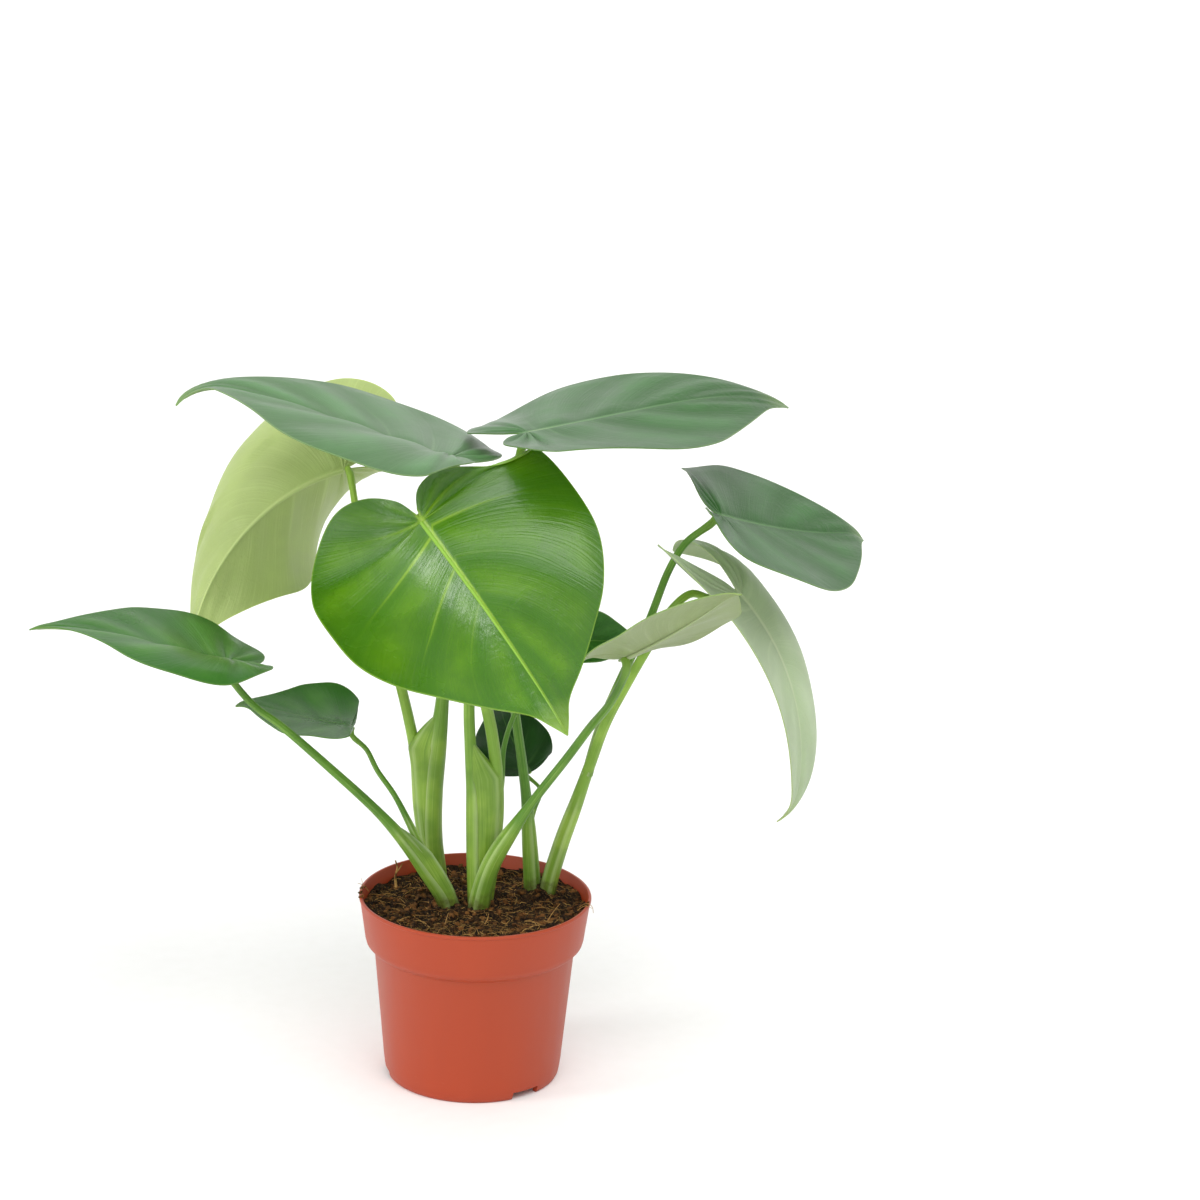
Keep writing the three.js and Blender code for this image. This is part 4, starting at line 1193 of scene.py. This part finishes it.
def thin_tube(centre, radius, sides):
    """The points and faces of a closed tube that thins to half its radius."""
    along = unit(np.gradient(centre, axis=0))
    first = unit(np.cross(along, np.array([[0.31, 0.11, 0.94]])))
    second = np.cross(along, first)
    thin = radius * np.linspace(1, 0.5, len(centre))[:, None]
    rings = [centre + thin * (math.cos(a) * first + math.sin(a) * second)
             for a in np.arange(sides) * 2 * math.pi / sides]
    points = np.stack(rings, axis=1).reshape(-1, 3)
    faces = []
    for i in range(len(centre) - 1):
        for j in range(sides):
            a, b = i * sides + j, i * sides + (j + 1) % sides
            faces.append((a, b, b + sides, a + sides))
    faces.append(tuple(reversed(range(sides))))
    last = (len(centre) - 1) * sides
    faces.append(tuple(last + j for j in range(sides)))
    return points * MM, faces


# How far from the pot's axis the fibres start and end, and how near to a stalk's side they
# start, in millimetres.
FIBRE_REACH = 54
FIBRE_END_REACH = 57.2
FIBRE_ROOM = -0.5

# Strands that stand out in the photo, each with its radius and how straw-coloured it is: the
# twig and its fork, the hairs on the left of the rim, those on its right, and the straws in front.
SINGLE_STRANDS = (
    ([(-42, 22, 92), (-42.5, 22.5, 98), (-41.5, 22, 103), (-42.5, 21.5, 107)], 0.8, 0.1),
    ([(-42, 22, 100), (-40, 22, 103), (-38.8, 21.5, 105.5)], 0.45, 0.15),
    ([(-57, -6, 97), (-58.5, -5, 100), (-58, -4.5, 104), (-58.8, -4, 106.5)], 0.2, 0.2),
    ([(-55, 2, 97), (-58, 3, 100), (-61, 2, 101.5)], 0.25, 0.4),
    ([(54, -10, 96.5), (57.5, -12, 99.2), (60.4, -13, 98), (61.2, -13.5, 94.5)], 0.25, 0.9),
    ([(53, -14, 96), (57, -15, 99), (60.6, -15.5, 97.8)], 0.2, 0.8),
    ([(38, -24, 94), (40.5, -25, 99), (44, -25.5, 104)], 0.32, 0.9),
    ([(-14, -38, 96), (-13, -38.5, 100), (-12.4, -39, 102.5)], 0.3, 0.8),
    ([(6, -36, 96), (7.5, -36.5, 99), (8, -37, 102)], 0.3, 1.0),
)


def make_fibres(settings):
    """Coconut fibres and rootlets in the soil, with the strands that stick out over the rim and a
    short twig that stands near the wall."""
    rng = random.Random(23)
    lines = []
    while len(lines) < settings.fibre_count:
        x, y = free_place(rng, FIBRE_REACH, FIBRE_ROOM)
        length = 2 + 9 * rng.random() ** 2
        rise = rng.uniform(0.15, 0.75)
        path = fibre_points(rng, (x, y, ground_at(x, y) - 0.5), rng.uniform(0, 6.3), length, rise)
        if np.hypot(path[:, 0], path[:, 1]).max() <= FIBRE_END_REACH:
            lines.append((path, rng.uniform(0.1, 0.24), rng.random() ** 1.2))
    lines += [(curve_points(path, 9)[0], radius, tone) for path, radius, tone in SINGLE_STRANDS]
    bits = [(*thin_tube(path, radius, 5 if radius > 0.4 else 3), tone) for path, radius, tone in lines]
    return loose_matter("soil_fibres", bits, peat("coconut_fibre", "#50361a", "#c89c5c"), 60)


# Stage.

# The camera: what it looks at, how far off and how high it stands, how it is tilted, and the
# photo's side and focal length in pixels.
CAMERA_AIM = Vector((60.2, 0, 259.0)) * MM
CAMERA_DISTANCE = 2200 * MM
CAMERA_ELEVATION = math.radians(17.57)
CAMERA_ROLL = math.radians(1.566)
PHOTO_SIDE = 1200
FOCAL_PIXELS = 4355
# The direction of the bright backdrop.
BACKDROP = (-0.1, 0.97, 0.2)
# The lamps' directions, their strengths against the main light, and their spread in degrees.
LAMPS = {
    "side_light": ((-0.88, -0.3, 0.42), 0.45, 18),
    "top_light": ((0.36, -0.42, 0.83), 0.48, 34),
    "front_light": ((-0.2, -0.85, 0.6), 0.6, 60),
}


def make_camera():
    """The camera stands where the photo was taken from."""
    back = Vector((0, -math.cos(CAMERA_ELEVATION), math.sin(CAMERA_ELEVATION)))
    right = Vector((1, 0, 0))
    up = back.cross(right)
    turned_right = right * math.cos(CAMERA_ROLL) + up * math.sin(CAMERA_ROLL)
    turned_up = -right * math.sin(CAMERA_ROLL) + up * math.cos(CAMERA_ROLL)
    lens = bpy.data.cameras.new("camera")
    lens.sensor_width = 36
    lens.lens = FOCAL_PIXELS / PHOTO_SIDE * lens.sensor_width
    lens.clip_end = 50
    camera = bpy.data.objects.new("camera", lens)
    bpy.context.collection.objects.link(camera)
    turn = Matrix((turned_right, turned_up, back)).transposed().to_4x4()
    camera.matrix_world = Matrix.Translation(CAMERA_AIM + back * CAMERA_DISTANCE) @ turn
    bpy.context.scene.camera = camera


def make_light(name, place, power, spread):
    """A broad lamp far off in the direction of place, that lights the whole floor alike."""
    lamp = bpy.data.lights.new(name, "SUN")
    lamp.energy = power
    lamp.angle = math.radians(spread)
    obj = bpy.data.objects.new(name, lamp)
    bpy.context.collection.objects.link(obj)
    obj.location = place
    obj.rotation_euler = (-Vector(place)).to_track_quat("-Z", "Y").to_euler()


def make_surroundings(brightness):
    """A white studio: brightest at the backdrop behind the plant and dim behind the camera."""
    world = bpy.data.worlds.new("white_surroundings")
    world.use_nodes = True
    towards = add_node(world, "TexCoord", output="Generated")
    facing = add_node(world, "VectorMath", (towards, BACKDROP), "Value", operation="DOT_PRODUCT")
    strength = add_node(world, "MapRange", (facing, -0.2, 0.8, 0.6 * brightness, 1.5 * brightness), **SMOOTH)
    set_inputs(world, world.node_tree.nodes["Background"], {"Color": (1, 1, 1, 1), "Strength": strength})
    return world


# The add-on's settings, tools and panel.

class PlantPotSettings(bpy.types.PropertyGroup):
    edge_rounding: bpy.props.FloatProperty(
        name="Edge rounding", description="Radius on the pot's moulded edges",
        default=0.00035, min=0, max=0.002, unit="LENGTH", precision=5)
    colour: bpy.props.FloatVectorProperty(
        name="Colour", description="Colour of the pot's plastic", size=4, subtype="COLOR",
        default=linear("#a0360f"), min=0, max=1)
    flow_colour: bpy.props.FloatVectorProperty(
        name="Flow colour", description="Colour of the flow marks in the plastic", size=4, subtype="COLOR",
        default=linear("#aa3c13"), min=0, max=1)


class PlantSoilSettings(bpy.types.PropertyGroup):
    crumb_size: bpy.props.FloatProperty(
        name="Crumb height", description="How deep the crumbs and hollows in the soil are", default=1.0,
        min=0, max=3, subtype="FACTOR")
    crumb_count: bpy.props.IntProperty(
        name="Crumbs", description="Number of loose crumbs on the soil", default=1900, min=0, max=4000)
    fibre_count: bpy.props.IntProperty(
        name="Fibres", description="Number of loose fibres in the soil", default=1500, min=0, max=3000)


class PlantBladeSettings(bpy.types.PropertyGroup):
    thickness: bpy.props.FloatProperty(
        name="Thickness", description="Thickness of a blade", default=0.0006, min=0.0002, max=0.002,
        unit="LENGTH", precision=5)
    quilting: bpy.props.FloatProperty(
        name="Quilting", description="Height of the swellings between the veins, against that of the kind",
        default=1.0, min=0, max=3, subtype="FACTOR")
    vein_depth: bpy.props.FloatProperty(
        name="Vein depth", description="How deep the veins are sunk, in millimetres", default=0.5,
        min=0, max=2)


class PlantStalkSettings(bpy.types.PropertyGroup):
    light_share: bpy.props.FloatProperty(
        name="Light green", description="How light the young stalks are", default=1.0, min=0, max=1,
        subtype="FACTOR")
    old_green: bpy.props.FloatVectorProperty(
        name="Old green", description="Colour of the oldest stalks", size=4, subtype="COLOR",
        default=linear("#4a7e1e"), min=0, max=1)
    young_green: bpy.props.FloatVectorProperty(
        name="Young green", description="Colour of the youngest stalks", size=4, subtype="COLOR",
        default=linear("#9cc048"), min=0, max=1)


class PlantStageSettings(bpy.types.PropertyGroup):
    floor_size: bpy.props.FloatProperty(
        name="Floor size", description="Side of the square floor", default=60, min=1, max=100, unit="LENGTH")
    sky: bpy.props.FloatProperty(
        name="Sky", description="Brightness of the white surroundings", default=0.72, min=0, max=5)
    key: bpy.props.FloatProperty(
        name="Key light", description="Strength of the main light", default=2.2, min=0, max=20)


class PLANT_OT_pot(bpy.types.Operator):
    """Makes the nursery pot"""
    bl_idname = "plant.pot"
    bl_label = "Pot"

    def execute(self, context):
        settings = context.scene.plant_pot
        pot = make_pot(settings)
        pot.data.materials.append(pot_plastic(settings))
        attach(pot, "root")
        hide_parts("pot")
        return {"FINISHED"}


class PLANT_OT_soil(bpy.types.Operator):
    """Makes the potting soil with its loose crumbs and fibres"""
    bl_idname = "plant.soil"
    bl_label = "Soil"

    def execute(self, context):
        settings = context.scene.plant_soil
        soil = make_soil(settings)
        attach(soil, "root")
        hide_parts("soil")
        for piece in (make_crumbs(settings), make_fibres(settings)):
            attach(piece, "root")
        return {"FINISHED"}


class PLANT_OT_stalks(bpy.types.Operator):
    """Makes the four clumps of leaf stalks"""
    bl_idname = "plant.stalks"
    bl_label = "Stalks"

    def execute(self, context):
        settings = context.scene.plant_stalks
        skin = stalk_skin(settings)
        for clump, stalks in CLUMPS.items():
            pieces = []
            for number, stalk in enumerate(stalks):
                light = settings.light_share * YOUNG_STALKS.get(stalk["blade"], OLD_STALK)
                pieces.append(make_stalk(number, stalk, light, skin))
            if clump in SHARED_SHEATHS:
                pieces.append(make_shared_sheath(stalks[0], stalks[1], SHARED_SHEATHS[clump], skin))
            piece = join(pieces, clump + "_fleshy")
            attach(piece, "root")
            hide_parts(clump)
        return {"FINISHED"}


class PLANT_OT_blades(bpy.types.Operator):
    """Makes the twelve leaf blades"""
    bl_idname = "plant.blades"
    bl_label = "Blades"

    def execute(self, context):
        for name, blade in BLADES.items():
            piece = make_blade(name + "_veined", blade, context.scene.plant_blades)
            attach(piece, "root")
            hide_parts(name)
        return {"FINISHED"}


class PLANT_OT_stage(bpy.types.Operator):
    """Makes the floor, the lights and the camera"""
    bl_idname = "plant.stage"
    bl_label = "Stage"

    def execute(self, context):
        settings = context.scene.plant_stage
        clear_selection()
        bpy.ops.mesh.primitive_plane_add(size=settings.floor_size)
        floor = bpy.context.object
        floor.name = "studio_floor"
        floor.data.materials.append(floor_paint())
        context.scene.world = make_surroundings(settings.sky)
        for name, (place, share, spread) in LAMPS.items():
            make_light(name, place, share * settings.key, spread)
        make_camera()
        context.scene.view_settings.view_transform = "Standard"
        return {"FINISHED"}


SETTINGS = {
    "plant_pot": PlantPotSettings,
    "plant_soil": PlantSoilSettings,
    "plant_stalks": PlantStalkSettings,
    "plant_blades": PlantBladeSettings,
    "plant_stage": PlantStageSettings,
}
TOOLS = (PLANT_OT_pot, PLANT_OT_soil, PLANT_OT_stalks, PLANT_OT_blades, PLANT_OT_stage)


class PLANT_PT_panel(bpy.types.Panel):
    """Lists the plant's settings and tools"""
    bl_label = "Plant"
    bl_idname = "PLANT_PT_panel"
    bl_space_type = "VIEW_3D"
    bl_region_type = "UI"
    bl_category = "Plant"

    def draw(self, context):
        for (name, group), tool in zip(SETTINGS.items(), TOOLS):
            box = self.layout.box()
            for value in group.__annotations__:
                box.prop(getattr(context.scene, name), value)
            box.operator(tool.bl_idname)


def register():
    for group in SETTINGS.values():
        bpy.utils.register_class(group)
    for name, group in SETTINGS.items():
        setattr(bpy.types.Scene, name, bpy.props.PointerProperty(type=group))
    for tool in TOOLS:
        bpy.utils.register_class(tool)
    bpy.utils.register_class(PLANT_PT_panel)


def unregister():
    bpy.utils.unregister_class(PLANT_PT_panel)
    for tool in reversed(TOOLS):
        bpy.utils.unregister_class(tool)
    for name, group in SETTINGS.items():
        delattr(bpy.types.Scene, name)
        bpy.utils.unregister_class(group)


def main():
    register()
    bpy.ops.plant.pot()
    bpy.ops.plant.soil()
    bpy.ops.plant.stalks()
    bpy.ops.plant.blades()
    bpy.ops.plant.stage()
    clear_selection()


if __name__ == "__main__":
    main()
